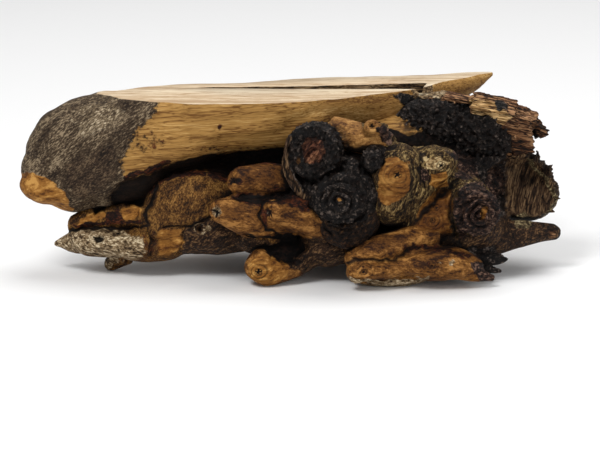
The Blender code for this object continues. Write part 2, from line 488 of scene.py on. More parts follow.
# Cut or worn shoot tips: the tip's centre, a point further in on the shoot's axis, the reach and depth
# of the pith's dimple, the spacing, height and reach of the rings round it, and the pith star's radius
TIPS = {
    "upper_finger": ((-39, -61, 75), (-18, -48, 74), 6, 2.2, 3.0, 0.15, 12, 3.4),
    "left_finger": ((-52, -70, 54), (-25, -54, 48), 6.5, 2.5, 3.0, 0.15, 12, 3.6),
    "right_finger": ((-15, -74, 55), (4, -60, 51), 6, 2.5, 3.0, 0.15, 12, 3.2),
    "foot_finger": ((-21, -66, 12), (-2, -48, 17), 5, 1.8, 2.8, 0.5, 15, 2.2),
    "first_knob": ((14, -72, 93), (24, -50, 100), 14, 3.5, 4.5, 0.8, 27, 0),
    "second_knob": ((34, -84, 66), (38, -60, 67), 8, 2.5, 4.8, 2.6, 33, 0),
    "domed_knob": ((73, -80, 83), (78, -50, 72), 6.5, 3.0, 3.4, 0.28, 30, 2.3),
    "ringed_knob": ((104, -66, 86), (98, -42, 83), 6, 2.5, 3.2, 0.5, 17, 2.0),
    "dark_knob": ((129, -68, 52), (118, -40, 52), 9, 2.5, 4.2, 2.2, 29, 0),
    "upper_eye": ((101, -62, 57), (98, -42, 50), 4, 1.2, 2.6, 0.5, 10, 1.1),
    "lower_eye": ((98, -63, 47), (97, -42, 46), 5, 1.5, 2.8, 0.6, 12, 1.3),
    "bottom_eye": ((97, -76, 18.5), (98, -57, 16), 4, 1.2, 2.8, 0.5, 12, 1.0),
    "lobe_eye": ((51, -79, 15), (58, -66, 16), 4, 1.2, 2.8, 0.5, 12, 1.1),
    "small_ring": ((56, -68, 115), (56, -48, 106), 4, 2.5, 3.0, 0.2, 8, 1.6),
    "little_knob": ((56, -79, 92), (61, -50, 90), 5, 1.5, 2.8, 0.6, 11, 0),
    "worm_hole": ((-129, -37, 28), (-127, -16, 26), 4.5, 6.0, 9.0, 0.0, 5, 0),
}

# Growth rings: how much and over what length they wander, the levels that count as low and get painted
# shade, and how fast the painted shade in the grooves of higher rings gets darker
RING_WOBBLE = 2.2
RING_WANDER = 7.0
RING_LOW = (0.1, 0.9)
RING_DARKNESS = 2.2

# Pith stars: the points, the body and the arms as shares of the radius, how far the rings' wander twists
# them, their depth, the edge's width inside and outside, and how far behind the tip they fade
STAR_POINTS = 5
STAR_BODY = 0.75
STAR_ARMS = 0.4
STAR_TWIST = 3
STAR_DEPTH = 1.3
STAR_EDGE = (-0.9, 0.5)
STAR_FADE = 9.0

# Fine relief: the bare wood's grain, then the share and size of the bark crumbs' lumps and of the rough
# grain on them, the level that is flush with the skin, and the levels that count as low and get painted
# shade
BARE_GRAIN_SIZE = 2.2
BARE_GRAIN_RUN = (7, 1, 1)
BARKED_FROM = 0.05
CRUMB_LUMPS = ((0.7, 3.9), (0.6, 2.1))
CRUMB_GRAINS = ((1.4, 2.6), (1.0, 1.4))
CRUMB_FLUSH = 0.75
CRUMB_LOW = (-1.3, -0.3)


def bark_cover(spots):
    """How far places are under clinging bark: 0 on bare wood, 1 well inside a bark-covered place."""
    nearest = np.max([nearness(spots, centre, reach) for centre, reach in BARK.values()], axis=0)
    return np.minimum(1, BARK_EDGE_STEEPNESS * nearest)


def round_axis(spots, tip, inner):
    """How far places lie from a shoot's axis, at what angle round it, and how far behind its tip."""
    axis = np.array(tip, dtype=float) - np.array(inner)
    axis /= np.linalg.norm(axis)
    offset = spots - np.array(tip)
    along = offset @ axis
    offset -= along[:, None] * axis
    aside = np.cross(axis, (0, 0, 1))
    return np.linalg.norm(offset, axis=1), np.arctan2(offset[:, 2], offset @ aside), -along


def crumbs_of(spots):
    """Bark crumbs at the spots: rounded lumps with rough grain on them."""
    lumps = sum(share * lumps_of(spots, size) for share, size in CRUMB_LUMPS)
    return lumps + sum(share * grain_of(spots, size) for share, size in CRUMB_GRAINS)


def relieve(piece, bare_grain=0.3, crumb=1.5):
    """Sculpts a piece's skin, the CAD's own relief first and finer bark, grain, piths and rings after it.

    Paints how low each place lies among its crumbs and rings, for painted shade there, and where the pith
    stars are.
    """
    points = vertex_places(piece)
    spots = drawn(points)
    cover = bark_cover(spots)
    lifts = SWELLING * grain_of(spots, SWELLING_REACH)
    lifts += BARK_RELIEF * cover * (np.abs(grain_of(spots, BARK_GRAIN)) - FLUSH_CRUMB)
    lifts += (1 - cover) * bare_grain * grain_of(spots, BARE_GRAIN_SIZE, BARE_GRAIN_RUN)
    low = np.zeros(len(spots))
    barked = cover > BARKED_FROM
    if barked.any():
        crumbs = crumbs_of(spots[barked])
        lifts[barked] += crumb * cover[barked] * (crumbs - CRUMB_FLUSH)
        low[barked] = cover[barked] * rise(-crumbs, *CRUMB_LOW)
    pith = np.zeros(len(spots))
    for tip, inner, reach, depth, spacing, height, ring_reach, star_radius in TIPS.values():
        lifts -= depth * nearness(spots, tip, reach)
        close = np.linalg.norm(spots - np.array(tip), axis=1) < ring_reach
        if not close.any():
            continue
        aside, angle, behind = round_axis(spots[close], tip, inner)
        wobble = RING_WOBBLE * grain_of(spots[close], RING_WANDER)
        rings = np.sin(2 * math.pi * aside / spacing + wobble)
        strength = fade(np.abs(behind), ring_reach) * fade(aside, ring_reach)
        lifts[close] += height * rings * np.minimum(1, 2 * strength)
        dip = min(1, RING_DARKNESS * height) * rise(-rings, *RING_LOW) * strength
        low[close] = np.maximum(low[close], dip)
        if not star_radius:
            continue
        star = star_radius * (STAR_BODY + STAR_ARMS * np.cos(STAR_POINTS * angle + STAR_TWIST * wobble))
        shown = rise(star - aside, *STAR_EDGE) * fade(np.abs(behind), STAR_FADE)
        pith[close] = np.maximum(pith[close], shown)
    lifts -= STAR_DEPTH * pith
    place_vertices(piece, points + vertex_normals(piece) * lifts[:, None] * MM)
    # Painted shade in the low places among crumbs and rings
    paint(piece, "low", low)
    paint(piece, "pith", pith)


def press_in(piece, shares, depth):
    """Presses a piece's skin away from the photo's camera where the shares say."""
    back = np.array(camera_axes()[3])
    place_vertices(piece, vertex_places(piece) - np.outer(shares, back) * depth * MM)


# Cuts

# Vertices closer than this to a level saw cut, in millimetres, are moved below it for a clean edge
SAW_CLEARANCE = 0.04

# The drying crack's lips in plan, from its left end to the torn end and back, its depth and tilt, the
# size of its voxels, how near its corners are welded, and the noise that tears its sides and its bottom
CRACK_FRONT = [(-66, 16), (-48, 13), (-30, 12.5), (10, 11.5), (50, 10), (92, 12)]
CRACK_BACK = [(96, 33), (72, 30), (40, 25), (10, 21), (-30, 18.5), (-48, 18)]
CRACK_DEPTH = 19.0
CRACK_TILT = 5.0
CRACK_VOXEL = 0.9
WELD_REACH = 0.01
CRACK_SIDES = ((1.3, 3.0, (5, 1, 1.5), 0), (1.2, 11, (2, 1, 1), 0))
CRACK_BOTTOM = ((1.2, 2.5, (6, 1, 1), 40),)

# The bark shell's hollow: its middle, radii and tilt, the size of its voxels, and the noise of its fibres
# and of its waves
HOLLOW_MIDDLE = (163, -18, 60)
HOLLOW_RADII = (27.5, 31.5, 20)
HOLLOW_TILT = 25
HOLLOW_VOXEL = 1.0
HOLLOW_FIBRES = ((2.4, 3.6, (1, 9, 1), 0),)
HOLLOW_WAVES = ((1.4, 9, (1, 1, 1), 0),)


def cut_away(piece, cutter):
    """Takes a cutter's shape out of a piece."""
    finish_with(piece, "BOOLEAN", operation="DIFFERENCE", object=cutter, solver="MANIFOLD")
    bpy.data.objects.remove(cutter)


def drop_crumbs(piece):
    """Deletes what a cut has loosened, which is all that isn't joined to the piece's leftmost place."""
    make_active(piece)
    bpy.ops.object.mode_set(mode="EDIT")
    bpy.ops.mesh.select_mode(type="VERT")
    bpy.ops.mesh.select_all(action="DESELECT")
    bpy.ops.object.mode_set(mode="OBJECT")
    piece.data.vertices[int(np.argmin(vertex_places(piece)[:, 0]))].select = True
    bpy.ops.object.mode_set(mode="EDIT")
    bpy.ops.mesh.select_linked()
    bpy.ops.mesh.select_all(action="INVERT")
    bpy.ops.mesh.delete(type="VERT")
    bpy.ops.object.mode_set(mode="OBJECT")


def saw_flat(piece, height, keep_above):
    """Saws a piece level at a height, and closes the cut."""
    points = vertex_places(piece)
    above = points[:, 2] / MM - height
    points[np.abs(above) < SAW_CLEARANCE, 2] = (height - SAW_CLEARANCE) * MM
    place_vertices(piece, points)
    make_active(piece)
    bpy.ops.object.mode_set(mode="EDIT")
    bpy.ops.mesh.select_all(action="SELECT")
    bpy.ops.mesh.bisect(
        plane_co=(0, 0, height * MM),
        plane_no=(0, 0, 1),
        use_fill=True,
        clear_inner=keep_above,
        clear_outer=not keep_above,
    )
    bpy.ops.object.mode_set(mode="OBJECT")


def crack_cutter():
    """The drying crack: a torn sliver in plan that widens and deepens towards the torn end."""
    outline = bpy.data.curves.new("crack", "CURVE")
    outline.dimensions = "2D"
    outline.fill_mode = "BOTH"
    outline.extrude = CRACK_DEPTH * MM
    spline = outline.splines.new("POLY")
    lips = CRACK_FRONT + CRACK_BACK
    spline.points.add(len(lips) - 1)
    for point, (x, y) in zip(spline.points, lips):
        point.co = (*at(x, y, 0), 1)
    spline.use_cyclic_u = True
    cutter = bpy.data.objects.new("crack", meshed(outline))
    bpy.context.scene.collection.objects.link(cutter)
    cutter.location = (0, 0, SAWN_HEIGHT * MM)
    cutter.rotation_euler = (0, math.radians(CRACK_TILT), 0)
    settle(cutter)
    finish_with(cutter, "WELD", merge_threshold=WELD_REACH * MM)
    finish_with(cutter, "REMESH", mode="VOXEL", voxel_size=CRACK_VOXEL * MM)
    points = vertex_places(cutter)
    spots = drawn(points)
    torn = np.zeros_like(points)
    torn[:, 1] = rough(spots, CRACK_SIDES)
    torn[:, 2] = rough(spots, CRACK_BOTTOM)
    place_vertices(cutter, points + torn * MM)
    return cutter


def hollow_cutter():
    """The inside of the bark shell, torn along its fibres so that its rim is jagged."""
    ball(HOLLOW_MIDDLE, HOLLOW_RADII, tilt=HOLLOW_TILT)
    cutter = clay.pop()
    settle(cutter)
    finish_with(cutter, "REMESH", mode="VOXEL", voxel_size=HOLLOW_VOXEL * MM)
    points = vertex_places(cutter)
    spots = drawn(points)
    lifts = np.abs(rough(spots, HOLLOW_FIBRES)) + rough(spots, HOLLOW_WAVES)
    place_vertices(cutter, points + vertex_normals(cutter) * lifts[:, None] * MM)
    return cutter


# Painting


def paint(piece, channel, *shares):
    """Keeps the strongest of some shares, 0 to 1, at each vertex, for the piece's material to read."""
    layer = piece.data.attributes.get(channel) or piece.data.attributes.new(channel, "FLOAT", "POINT")
    layer.data.foreach_set("value", np.clip(np.maximum.reduce(shares), 0, 1).astype(np.float32))


def vertex_values(piece, channel):
    """What is painted in a channel at each vertex."""
    return read_all(piece.data.attributes[channel].data, "value")


def distance_to_line(pixels, points):
    """How far pixels are from a line through points, in pixels."""
    shortest = np.full(len(pixels), np.inf)
    for start, end in zip(points, points[1:] or points):
        start, end = np.array(start, dtype=float), np.array(end, dtype=float)
        run = end - start
        share = np.clip((pixels - start) @ run / max(run @ run, 1e-9), 0, 1)
        shortest = np.minimum(shortest, np.linalg.norm(pixels - start - share[:, None] * run, axis=1))
    return shortest


class Front:
    """How the photo's camera sees a piece: each vertex's pixel, and whether it is at the front."""

    def __init__(self, piece):
        place, right, up, back = (np.array(axis) for axis in camera_axes())
        offsets = vertex_places(piece) - place
        depths = -(offsets @ back)
        scales = CAMERA_DISTANCE / depths / (PHOTO_PIXEL * MM)
        across = PHOTO_SIZE[0] / 2 + offsets @ right * scales
        down = PHOTO_SIZE[1] / 2 - offsets @ up * scales
        spots = drawn(vertex_places(piece))
        wobble = [grain_of(spots + aside, WOBBLE_SIZE) for aside in (0, 90)]
        self.pixels = np.stack((across, down), axis=1) + WOBBLE * np.stack(wobble, axis=1)
        columns = np.round(across / FRONT_CELL).astype(int)
        cells = columns * PHOTO_SIZE[1] + np.round(down / FRONT_CELL).astype(int)
        nearest = np.full(cells.max() + 1, np.inf)
        np.minimum.at(nearest, cells, depths)
        self.shown = fade(np.maximum(0, (depths - nearest[cells]) / MM - FRONT_SKIN), FRONT_WRAP)

    def near(self, points, reach):
        """The vertices at the front that are within a reach of the box round some pixels."""
        low, high = np.min(points, axis=0) - reach, np.max(points, axis=0) + reach
        return np.all((self.pixels > low) & (self.pixels < high), axis=1) & (self.shown > 0)

    def line(self, points, width):
        """1 on a line through pixels, and 0 a width away from it."""
        near = self.near(points, width)
        share = np.zeros(len(near))
        share[near] = fade(distance_to_line(self.pixels[near], points), width) * self.shown[near]
        return share

    def area(self, corners, edge):
        """1 inside a region of pixels, one half on its outline and 0 an edge's width outside it."""
        near = self.near(corners, edge)
        share = np.zeros(len(near))
        pixels = self.pixels[near]
        inside = np.zeros(len(pixels), dtype=bool)
        for (u1, v1), (u2, v2) in zip(corners, corners[1:] + corners[:1]):
            if v1 == v2:
                continue
            crossing = u1 + (pixels[:, 1] - v1) / (v2 - v1) * (u2 - u1)
            inside ^= ((pixels[:, 1] < v1) != (pixels[:, 1] < v2)) & (pixels[:, 0] < crossing)
        depth = distance_to_line(pixels, corners + corners[:1]) * np.where(inside, 1, -1)
        share[near] = np.clip(0.5 + depth / (2 * edge), 0, 1) * self.shown[near]
        return share

    def oval(self, centres, size):
        """1 at a pixel, and 0 a radius away from it. The size's second number stretches it in height."""
        radius, tall = size
        offsets = (self.pixels - centres[0]) / (1, tall)
        return fade(np.linalg.norm(offsets, axis=1), radius) * self.shown

    def spot(self, centres, radius):
        """1 at a pixel, and 0 a radius away from it."""
        return self.oval(centres, (radius, 1))

    def ring(self, centres, size):
        """1 on a ring round a pixel, and 0 a width away from it. The size is its radius and width."""
        radius, width = size
        aside = np.abs(np.linalg.norm(self.pixels - centres[0], axis=1) - radius)
        return fade(aside, width) * self.shown


# Painted shade with grime in closed-in places: how many ways each place looks, from how far above the
# skin and how far out, and the least slope of a look to the skin. Then the passes that even it out, and
# how shut in a place is where the painted shade starts and where it is full
SHADE_LOOKS = 24
SHADE_LIFT = 2.5
SHADE_REACH = 26.0
SHADE_SLOPE = 0.15
SHADE_PASSES = 8
SHADE_FROM = (0.32, 0.9)


def skin_tree(pieces):
    """The skins of all the pieces together, for rays to hit."""
    corners, faces = [], []
    for piece in pieces:
        first = len(corners)
        corners.extend(vertex_places(piece).tolist())
        small = (face.vertices for face in piece.data.polygons if len(face.vertices) < 5)
        faces.extend([first + i for i in vertices] for vertices in small)
    return BVHTree.FromPolygons(corners, faces)


def softened(piece, values, passes):
    """Values at the vertices, evened out with their neighbours' in some passes."""
    ends = np.empty(len(piece.data.edges) * 2, dtype=np.int32)
    piece.data.edges.foreach_get("vertices", ends)
    one, other = ends.reshape(-1, 2).T
    count = len(values)
    neighbours = np.maximum(1, np.bincount(one, minlength=count) + np.bincount(other, minlength=count))
    for _ in range(passes):
        around = np.bincount(one, values[other], count) + np.bincount(other, values[one], count)
        values = 0.5 * values + 0.5 * around / neighbours
    return values


def closed_in(piece, skins):
    """How shut in by the rest of the blank each vertex is, from 0 in the open to 1 deep in a crevice."""
    golden = math.pi * (3 - math.sqrt(5))
    looks = []
    for i in range(SHADE_LOOKS):
        z = 1 - (2 * i + 1) / SHADE_LOOKS
        around = math.sqrt(1 - z * z)
        looks.append(Vector((around * math.cos(i * golden), around * math.sin(i * golden), z)))
    shares = []
    for place, normal in zip(vertex_places(piece).tolist(), vertex_normals(piece).tolist()):
        normal = Vector(normal)
        start = Vector(place) + normal * SHADE_LIFT * MM
        facing = [look for look in looks if look.dot(normal) > SHADE_SLOPE]
        shut = sum(skins.ray_cast(start, look, SHADE_REACH * MM)[0] is not None for look in facing)
        shares.append(shut / max(1, len(facing)))
    return np.array(shares)


# Materials

# Figure: the turns of its bands, where in a turn a band starts and is full and how dark it is, a grain
# line's depth, width and scale, the crumbs' scale, fall and height, the share of flecks on them, and the
# values at which the dark, the middle and the light shade are pure
BAND_TURNS = 110.0
BAND_FROM = (0.2, 1.0)
BAND_DEPTH = 0.13
LINE_DEPTH = 0.16
LINE_WIDTH = 0.035
LINE_SCALE = 0.45
CROWN_SCALE = 0.5
CROWN_FALL = -0.55
CROWN_TOP = 0.74
CROWN_FLECKS = 0.45
TONE_STEPS = (0.36, 0.5, 0.64)

# The shine of all finishes, and the tint that the painted shade wash multiplies them with
SHEEN = 0.14
SHADE_WASH_TINT = (0.3, 0.22, 0.16, 1)

# The painted shade of low places and crevices, the black piths and the grime of shaded skins: the channel,
# the raggedness and softness of its edge, and its strength
SHADE_AND_DIRT = (("low", 0.4, 0.4, 0.75), ("pith", 0.2, 0.2, 1.0), ("grime_and_shade", 0.5, 0.28, 0.97))
SHADE_AND_DIRT_SIZE = 3.0


def shade(red, green, blue):
    """A screen colour, 0 to 255, as the shader's linear one."""
    parts = [part / 255 for part in (red, green, blue)]
    return (*(part / 12.92 if part <= 0.04 else ((part + 0.055) / 1.055) ** 2.4 for part in parts), 1)


def set_inputs(tree, made, inputs):
    for socket, value in inputs.items():
        if isinstance(value, bpy.types.NodeSocket):
            tree.links.new(value, made.inputs[socket])
        else:
            made.inputs[socket].default_value = value
    return made


def add(tree, kind, inputs=None, **settings):
    """A shader node with its settings, and its inputs set or linked."""
    made = tree.nodes.new(kind)
    for name, value in settings.items():
        setattr(made, name, value)
    return set_inputs(tree, made, inputs or {})


def calc(tree, operation, *values):
    return add(tree, "ShaderNodeMath", dict(enumerate(values)), operation=operation).outputs[0]


def ramped(tree, value, low, high, to_low=0.0, to_high=1.0):
    """Smoothly from one value to another as the input goes from low to high."""
    inputs = {"Value": value, "From Min": low, "From Max": high, "To Min": to_low, "To Max": to_high}
    return add(tree, "ShaderNodeMapRange", inputs, interpolation_type="SMOOTHSTEP").outputs[0]


def blended(tree, factor, under, over):
    return add(tree, "ShaderNodeMix", {0: factor, 6: under, 7: over}, data_type="RGBA").outputs[2]


def mixed(tree, factor, under, over):
    return add(tree, "ShaderNodeMix", {0: factor, 2: under, 3: over}, data_type="FLOAT").outputs[0]


def new_group(name, inputs, outputs):
    """A node group with named sockets, and its input and output nodes."""
    tree = bpy.data.node_groups.new(name, "ShaderNodeTree")
    for socket, (kind, value) in inputs.items():
        made = tree.interface.new_socket(socket, in_out="INPUT", socket_type="NodeSocket" + kind)
        if value is not None:
            made.default_value = value
    for socket, kind in outputs.items():
        tree.interface.new_socket(socket, in_out="OUTPUT", socket_type="NodeSocket" + kind)
    return tree, tree.nodes.new("NodeGroupInput").outputs, tree.nodes.new("NodeGroupOutput").inputs


def figure_group():
    """Three shades of one stuff: flecks over blotches, with dark grain lines and, where wanted, crumbs with
    painted highlights on their crowns and painted shade at their edges.
    """
    inputs = {
        "Vector": ("Vector", None),
        "Fleck": ("Float", 1.5),
        "Blotch": ("Float", 12.0),
        "Fleck Share": ("Float", 0.6),
        "Lines": ("Float", 0.0),
        "Bands": ("Float", 0.0),
        "Crumbs": ("Float", 0.0),
        "Contrast": ("Float", 1.0),
        "Dark": ("Color", (0, 0, 0, 1)),
        "Middle": ("Color", (0.2, 0.2, 0.2, 1)),
        "Light": ("Color", (0.5, 0.5, 0.5, 1)),
    }
    tree, given, out = new_group("figure", inputs, {"Color": "Color", "Height": "Float"})
    place = given["Vector"]
    fleck_scale = calc(tree, "DIVIDE", 1 / MM, given["Fleck"])
    blotch_scale = calc(tree, "DIVIDE", 1 / MM, given["Blotch"])
    fine = {"Vector": place, "Scale": fleck_scale, "Detail": 5.0, "Roughness": 0.65}
    flecks = add(tree, "ShaderNodeTexNoise", fine).outputs[0]
    broad = {"Vector": place, "Scale": blotch_scale, "Detail": 3.0, "Distortion": 0.6}
    blotches = add(tree, "ShaderNodeTexNoise", broad).outputs[0]
    value = mixed(tree, given["Fleck Share"], blotches, flecks)
    # Crumbs: a painted highlight on each crown, and painted shade towards its edge
    cells = {"Vector": place, "Scale": calc(tree, "MULTIPLY", fleck_scale, CROWN_SCALE), "Randomness": 1.0}
    distance = add(tree, "ShaderNodeTexVoronoi", cells, feature="F1").outputs["Distance"]
    crown = calc(tree, "MULTIPLY_ADD", distance, CROWN_FALL, CROWN_TOP)
    crumbly = mixed(tree, CROWN_FLECKS, crown, value)
    value = mixed(tree, given["Crumbs"], value, crumbly)
    lined = {"Vector": place, "Scale": calc(tree, "MULTIPLY", fleck_scale, LINE_SCALE), "Detail": 2.0}
    run = add(tree, "ShaderNodeTexNoise", lined).outputs[0]
    contour = calc(tree, "ABSOLUTE", calc(tree, "SUBTRACT", run, 0.5))
    line = calc(tree, "MULTIPLY", ramped(tree, contour, 0.0, LINE_WIDTH, 1.0, 0.0), given["Lines"])
    value = calc(tree, "SUBTRACT", value, calc(tree, "MULTIPLY", line, LINE_DEPTH))
    wave = calc(tree, "SINE", calc(tree, "MULTIPLY", blotches, BAND_TURNS))
    band = calc(tree, "MULTIPLY", ramped(tree, wave, *BAND_FROM), given["Bands"])
    value = calc(tree, "SUBTRACT", value, calc(tree, "MULTIPLY", band, BAND_DEPTH))
    spread = calc(tree, "MULTIPLY", calc(tree, "SUBTRACT", value, 0.5), given["Contrast"])
    value = calc(tree, "ADD", spread, 0.5)
    dark, middle, light = TONE_STEPS
    lower = blended(tree, ramped(tree, value, dark, middle), given["Dark"], given["Middle"])
    whole = blended(tree, ramped(tree, value, middle, light), lower, given["Light"])
    tree.links.new(whole, out["Color"])
    tree.links.new(value, out["Height"])
    return tree


def ragged_group():
    """A painted share turned into a patch with a ragged edge."""
    inputs = {
        "Share": ("Float", 0.0),
        "Vector": ("Vector", None),
        "Size": ("Float", 4.0),
        "Raggedness": ("Float", 0.8),
        "Softness": ("Float", 0.1),
    }
    tree, given, out = new_group("ragged edge", inputs, {"Mask": "Float"})
    scale = calc(tree, "DIVIDE", 1 / MM, given["Size"])
    inputs = {"Vector": given["Vector"], "Scale": scale, "Detail": 6.0, "Roughness": 0.6}
    crumbly = add(tree, "ShaderNodeTexNoise", inputs).outputs[0]
    bite = calc(tree, "MULTIPLY", calc(tree, "SUBTRACT", crumbly, 0.5), given["Raggedness"])
    share = calc(tree, "ADD", given["Share"], bite)
    low = calc(tree, "SUBTRACT", 0.5, given["Softness"])
    high = calc(tree, "ADD", 0.5, given["Softness"])
    tree.links.new(ramped(tree, share, low, high), out["Mask"])
    return tree


FIGURE = figure_group()
RAGGED = ragged_group()


def finish(
    dark,
    middle,
    light,
    fleck=1.3,
    blotch=8,
    flecks=0.6,
    lines=0.0,
    bands=0.0,
    crumbs=0.0,
    along=2,
    angle=0,
    bump=0.5,
    roughness=0.72,
    contrast=1.5,
    deep=1,
):
    """A finish: its shades and the figure's numbers, then the grain's run, angle, bump and roughness.

    Sizes and the bump are in millimetres and the angle is in degrees. Deep is the run into the depth.
    """
    return {
        "shades": [shade(*tone) for tone in (dark, middle, light)],
        "figure": {
            "Fleck": fleck,
            "Blotch": blotch,
            "Fleck Share": flecks,
            "Lines": lines,
            "Bands": bands,
            "Crumbs": crumbs,
            "Contrast": contrast,
        },
        "stretch": (along, deep, 1),
        "angle": angle,
        "bump": bump,
        "roughness": roughness,
    }


FINISHES = {
    "sawn_wood": finish((172, 144, 112), (212, 192, 162), (226, 210, 182), 0.8, 9, 0.5, 0.8, 0.6, along=26,
        angle=1, bump=0.03, roughness=0.6, deep=1.5),
    "golden_wood": finish((98, 64, 28), (156, 117, 62), (200, 163, 104), 0.9, 9, 0.5, 0.7, 0.5, along=20,
        angle=-3, bump=0.3, contrast=0.88, deep=2.5),
    "weathered_skin": finish((32, 23, 15), (70, 56, 41), (136, 119, 95), 0.85, 9, 0.65, 0.5, along=3.5,
        angle=-42, bump=0.6, deep=1.6),
    "pale_skin": finish((52, 40, 28), (108, 92, 70), (176, 160, 134), 0.9, 7, 0.7, 0.5, along=4, angle=-42,
        bump=0.6, contrast=1.6, deep=1.6),
    "dark_skin": finish((22, 15, 10), (52, 39, 28), (98, 80, 60), 0.9, 8, 0.65, 0.4, along=3, angle=-42,
        bump=0.6, deep=1.6),
    "orange_wood": finish((76, 42, 13), (136, 90, 37), (186, 138, 72), 1.3, 6, 0.4, 0.3, along=2.5,
        angle=-10, bump=0.4, contrast=1.1),
    "shoot_wood": finish((44, 22, 8), (104, 66, 27), (164, 116, 60), 1.2, 6, 0.4, 0.4, along=2.2, angle=8,
        contrast=1.2),
    "burl_wood": finish((70, 40, 16), (130, 90, 46), (178, 134, 78), 1.1, 6, 0.5, 0.4, along=2.2, angle=-14,
        bump=0.45, contrast=1.15),
    "mottled_wood": finish((30, 16, 5), (84, 54, 23), (134, 97, 48), 1.0, 6, 0.6, 0.3, along=1.8, angle=-70,
        bump=0.45),
    "maroon_skin": finish((8, 3, 2), (32, 13, 7), (84, 42, 20), 1.3, 6, 0.6, bump=0.45),
    # The black and the purple bark's light shades are their paler flecks and also painted highlights on
    # their crumbs
    "black_bark": finish((3, 2, 2), (19, 14, 12), (98, 86, 78), 1.2, 6, 0.6, crumbs=0.5, along=1, bump=1.4,
        roughness=0.52, contrast=1.6),
    "purple_bark": finish((6, 3, 3), (44, 27, 21), (122, 94, 78), 1.1, 6, 0.62, crumbs=0.5, along=1.5,
        bump=1.6, roughness=0.48, contrast=1.8),
    "brown_bark": finish((10, 5, 3), (46, 29, 17), (116, 86, 56), 1.1, 6, 0.7, crumbs=0.4, along=1.8,
        angle=-30, bump=1.2, roughness=0.6),
    "pale_wood": finish((48, 34, 21), (130, 108, 79), (208, 190, 158), 1.1, 5, 0.65, crumbs=0.4, along=2.2,
        angle=10, bump=0.9, contrast=1.7),
    "olive_bark": finish((18, 10, 4), (74, 54, 28), (156, 132, 86), 1.1, 5, 0.65, 0.5, crumbs=0.3, along=4,
        angle=-75, bump=1.0, contrast=1.8),
    "cream_bark": finish((80, 56, 30), (156, 130, 90), (214, 196, 152), 1.1, 5, 0.6, crumbs=0.2, bump=0.6,
        contrast=1.3),
    "split_wood": finish((54, 32, 15), (138, 104, 61), (212, 176, 124), 0.9, 8, 0.6, 1.0, along=12, angle=8,
        bump=0.8, contrast=1.6, deep=3),
    "aged_wood": finish((18, 9, 5), (80, 50, 30), (164, 124, 88), 0.9, 8, 0.6, 1.0, along=9, angle=14,
        bump=0.9, contrast=1.7, deep=3),
    "crack_wood": finish((28, 18, 10), (90, 68, 44), (164, 138, 102), 0.9, 9, 0.6, 1.0, along=14, bump=0.6),
    "cut_face": finish((36, 17, 11), (92, 55, 39), (140, 96, 68), 0.9, 6, 0.6, 0.9, along=7, angle=-50,
        deep=4),
    "shell_fibre": finish((16, 9, 6), (62, 44, 30), (124, 98, 70), 0.9, 9, 0.6, 0.8, along=10, angle=-78,
        bump=0.9, deep=10),
    "lichen": finish((40, 30, 18), (92, 78, 54), (158, 142, 106), 1.1, 5, 0.7, crumbs=0.7, along=1,
        bump=1.2, contrast=1.7),
    # Black for painted shade in gaps, low places and crevices, and for the piths
    "shade_and_pith_black": finish((2, 1, 1), (6, 3, 2), (24, 13, 8), 1.5, 6, 0.6, along=1.5, bump=0.3, roughness=0.9),
}


def laid(tree, place, name):
    """A finish's colour and its height in metres."""
    look = FINISHES[name]
    inputs = {"Vector": place, "Rotation": (0, math.radians(look["angle"]), 0), "Scale": look["stretch"]}
    grain = add(tree, "ShaderNodeMapping", inputs, vector_type="TEXTURE").outputs[0]
    inputs = {"Vector": grain, **look["figure"], **dict(zip(("Dark", "Middle", "Light"), look["shades"]))}
    made = set_inputs(tree, add(tree, "ShaderNodeGroup", node_tree=FIGURE), inputs)
    return made.outputs["Color"], calc(tree, "MULTIPLY", made.outputs["Height"], look["bump"] * MM)


def masked(tree, place, channel, size, raggedness, softness=0.12):
    """A painted channel as a ragged-edged mask."""
    share = add(tree, "ShaderNodeAttribute", attribute_name=channel).outputs["Fac"]
    made = add(tree, "ShaderNodeGroup", node_tree=RAGGED)
    inputs = {"Share": share, "Vector": place, "Size": size, "Raggedness": raggedness, "Softness": softness}
    return set_inputs(tree, made, inputs).outputs["Mask"]


def skin_material(name, base, layers=(), with_shade_and_dirt=True):
    """A base finish with painted layers over it, each (finish, channel, edge size, raggedness).

    A skin with shade and dirt gets a painted shade wash where painted, painted shade in its low places,
    black in its piths, and painted shade with grime in its crevices.
    """
    material = bpy.data.materials.new(name)
    material.use_nodes = True
    tree = material.node_tree
    surface = tree.nodes["Principled BSDF"]
    place = add(tree, "ShaderNodeTexCoord").outputs["Object"]
    colour, height = laid(tree, place, base)
    roughness = FINISHES[base]["roughness"]
    for finish_name, channel, size, raggedness in layers:
        mask = masked(tree, place, channel, size, raggedness)
        over, over_height = laid(tree, place, finish_name)
        colour = blended(tree, mask, colour, over)
        height = mixed(tree, mask, height, over_height)
        roughness = mixed(tree, mask, roughness, FINISHES[finish_name]["roughness"])
    if with_shade_and_dirt:
        # A wash of painted shade
        share = add(tree, "ShaderNodeAttribute", attribute_name="shade_wash").outputs["Fac"]
        inputs = {0: share, 6: colour, 7: SHADE_WASH_TINT}
        colour = add(tree, "ShaderNodeMix", inputs, data_type="RGBA", blend_type="MULTIPLY").outputs[2]
        # Black for the painted shade of low places and crevices, for the piths and for the grime
        shade_and_dirt = laid(tree, place, "shade_and_pith_black")[0]
        for channel, raggedness, softness, strength in SHADE_AND_DIRT:
            share = masked(tree, place, channel, SHADE_AND_DIRT_SIZE, raggedness, softness)
            colour = blended(tree, calc(tree, "MULTIPLY", share, strength), colour, shade_and_dirt)
    bump = add(tree, "ShaderNodeBump", {"Strength": 1.0, "Distance": 1.0, "Height": height})
    inputs = {"Base Color": colour, "Roughness": roughness, "Normal": bump.outputs["Normal"]}
    set_inputs(tree, surface, {**inputs, "Specular IOR Level": SHEEN})
    return material


